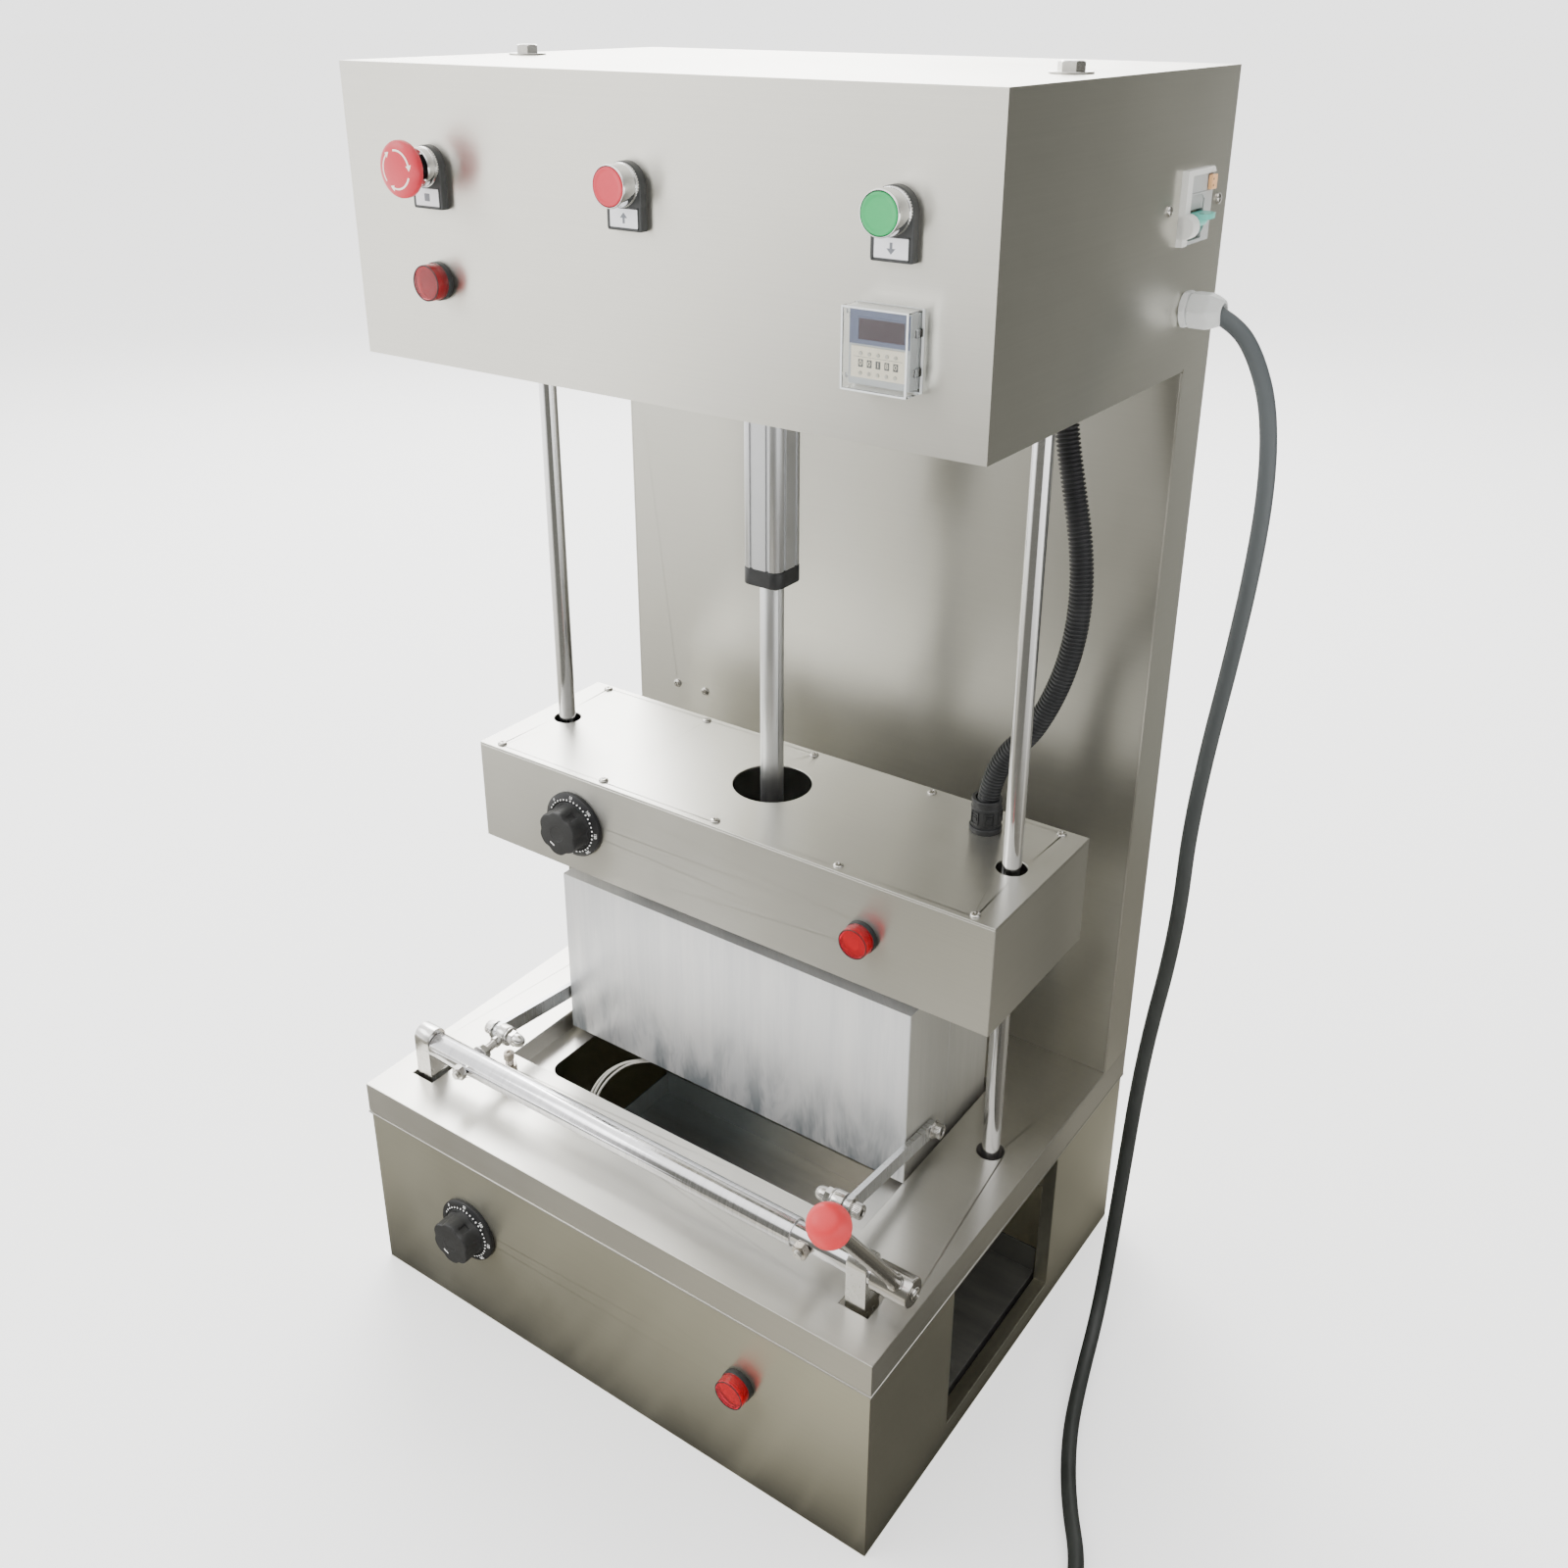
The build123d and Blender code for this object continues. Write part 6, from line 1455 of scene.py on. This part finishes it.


# thickened edges of the hinged cover, and of its frame
ce = Build()
for x0, x1, z0, z1 in ((184.3, 185.5, 922.0, 974.0), (231.1, 232.3, 922.0, 974.0), (185.5, 231.1, 922.0, 923.1), (185.5, 231.1, 972.9, 974.0)):
    ce.block(x0 - 0.08, x1 + 0.08, 77.9, 78.7, z0 - 0.08, z1 + 0.08)
ce.make("timer_cover_edges", [clear_edge], "timer_door", "clear_plastic", bevel=0.25)
cr = Build()
for x0, x1, z0, z1 in ((184.0, 185.2, 921.8, 974.2), (231.4, 232.6, 921.8, 974.2), (185.2, 231.4, 921.8, 923.0), (185.2, 231.4, 973.0, 974.2)):
    cr.block(x0, x1, 95.2, 97.9, z0, z1)
cr.make("timer_frame_edges", [clear_edge], "frame", "clear_plastic", bevel=0.25)


# ================================================================ rolled rim under the lid's skirt
rim = Build()
prof = [(-1.58, 178.2), (0.0, 179.0), (0.62, 179.6), (0.86, 180.3), (0.74, 180.9), (0.3, 181.38), (-0.4, 181.56), (-1.58, 181.56)]
stations = []
for d, z in prof:
    e = 0.3 * d if d > 0 else d
    stations.append([P(-280 - e, 464.8, z), P(-280 - e, -d, z), P(280 + e, -d, z), P(280 + e, 464.8, z)])
vs = [p for row in stations for p in row]
fs = []
n = len(prof)
for i in range(n):
    j = (i + 1) % n
    for k in range(3):
        fs.append((i * 4 + k, i * 4 + k + 1, j * 4 + k + 1, j * 4 + k))
fs += [tuple(i * 4 for i in range(n)), tuple(i * 4 + 3 for i in reversed(range(n)))]
rim.add(vs, fs)
rim.make("base_rim", [steel_lid], "frame", "stainless_sheet", angle=60)


# ================================================================ breaker in the right side
X0 = 278.4
case = Build()
case.block(215, X0 + 0.2, 371.2, 424.8, 965, 1050)
pts = [(371.4, 981.4), (424.6, 981.4), (424.6, 1028.5), (420.6, 1033.6), (371.4, 1033.6)]
case.prism([(y - FRONT, z) for y, z in pts], (X0 * MM, 0, 0), IN, UP, 5.2)
cut = Build()
cut.prism([(y - FRONT, z) for y, z in ((383.2, 984), (409.5, 984), (409.5, 1012), (404, 1015.5), (388, 1015.5), (383.2, 1012))], (276.5 * MM, 0, 0), IN, UP, 20)
cut2 = Build()
cut2.block(282, 290, 412.8, 423.0, 1017.5, 1028.5)
cut3 = Build()
cut3.block(283.0, 290, 381, 424.9, 1016.9, 1017.5)
vs, fs = carve(case, cut, cut2, cut3)
bc = Build()
bc.add(vs, fs)
bc.make("breaker_case", [grey_case], "frame", "grey_plastic", ["breaker_body"], angle=30)
bf = Build()
bf.block(276.8, 282.9, 383.3, 409.4, 1005.2, 1015.4)
bf.block(276.8, 280.4, 383.3, 409.4, 984.1, 991.0)
bf.make("breaker_recess_steps", [grey_case], "frame", "grey_plastic", bevel=0.5)
bw = Build()
bw.prism([(y - FRONT, z) for y, z in ((371.2, 981.2), (380.6, 981.2), (380.6, 1029.6), (421.5, 1029.6), (424.8, 1029.6), (424.8, 1029.9), (421.0, 1033.8), (371.2, 1033.8))],
         (X0 * MM, 0, 0), IN, UP, 6.6)
bw.make("breaker_front_band", [white_case], "frame", "white_plastic", bevel=0.6)
bb = Build()
bb.polar([(0, 0), (8.4, 0), (9.0, 0.6), (9.0, 11.4), (8.4, 12), (2.0, 12), (1.8, 11.5), (0, 11.5)], P(283.6, 371.2, 995), IN, seg=56)
bb.make("breaker_barrel", [white_case], "frame", "white_plastic", angle=30)
dr = Build()
# painted shade: the drum in the recess is a darker copy of the teal
dr.polar([(0, 0.3), (7.4, 0.3), (7.4, 25.6), (0, 25.6)], P(277.8, 383.4, 993), IN, seg=56)
dr.make("breaker_drum", [teal_dark], "frame", "teal_plastic", angle=30)
tg = Build()
tg.polar([(0, 0.2), (5.1, 0.2), (5.5, 0.7), (5.5, 25.0), (5.1, 25.5), (0, 25.5)], P(283, 383.6, 998), IN, seg=48)
tg.prism([(y - FRONT, x) for y, x in ((385.4, 283), (407.6, 283), (407.9, 288), (405.5, 294.6), (401.5, 296), (391.5, 296), (387.5, 294.6), (385.2, 290))],
         (0, 0, 999.5 * MM), IN, RIGHT, -4.0)
tg.make("breaker_lever_handle", [teal], "breaker_lever", "teal_plastic", ["breaker_toggle"], bevel=0.5)
th = Build()
# painted shade: a flat dark teal disc stands for the shade in the lever's hole
th.polar([(2.0, 0), (2.0, 0.12), (0, 0.12)], P(290.2, 389.6, 1003.5), UP, seg=24)
th.make("breaker_lever_hole", [teal_dark], "breaker_lever", "teal_plastic")
key = Build()
key.block(283.8, 287.2, 413.1, 422.7, 1017.8, 1028.2)
key.make("breaker_key_cap", [orange_key], "breaker_key", "orange_plastic", ["breaker_test_button"], bevel=0.5)
kd = Build()
for z in (1020.6, 1025.2):
    kd.polar([(0.85, 0), (0.85, 0.1), (0, 0.1)], P(287.2, 415.0, z), RIGHT, seg=20)
kd.make("breaker_key_dots", [black_fitting], "breaker_key", "orange_plastic")


# ================================================================ cable gland
gl = Build()
go = P(280, 402, 933)
gl.hexagon(go, RIGHT, 25.5, 5.5, phase=math.radians(0), seg=72)
gl.polar([(11.6, 5.3), (11.6, 6.7)], go, RIGHT, seg=48)


def nut_r(limit, flats=25.0):
    def r(t):
        d = (t % (math.pi / 3)) - math.pi / 6
        return min(flats / 2 / math.cos(d), limit)
    return r


prof = [(nut_r(12.6), 6.5), (nut_r(13.6), 6.9), (nut_r(14.5), 7.6), (nut_r(14.5), 19.5), (nut_r(14.1), 20.6), (nut_r(13.5, 24.6), 22.0),
        (nut_r(12.9, 23.8), 23.6), (nut_r(12.2, 22.4), 25.4), (nut_r(11.3, 20.8), 27.4), (nut_r(10.2, 19.4), 29.2), (9.3, 30.6), (8.4, 31.0), (7.0, 30.8),
        (6.6, 29.0), (6.6, 6.5)]
gl.polar(prof, go, RIGHT, seg=96, closed=True)
gl.polar([(6.4, -20), (10, -18), (10, 0)], go, RIGHT, seg=36)
gl.hexagon(P(274.5, 402, 933), RIGHT, 27, 4, bore=10)
gl.make("lead_gland", [white_nylon], "frame", "white_plastic", ["cable_gland"], angle=22)


# ================================================================ the end
bpy.context.view_layer.update()
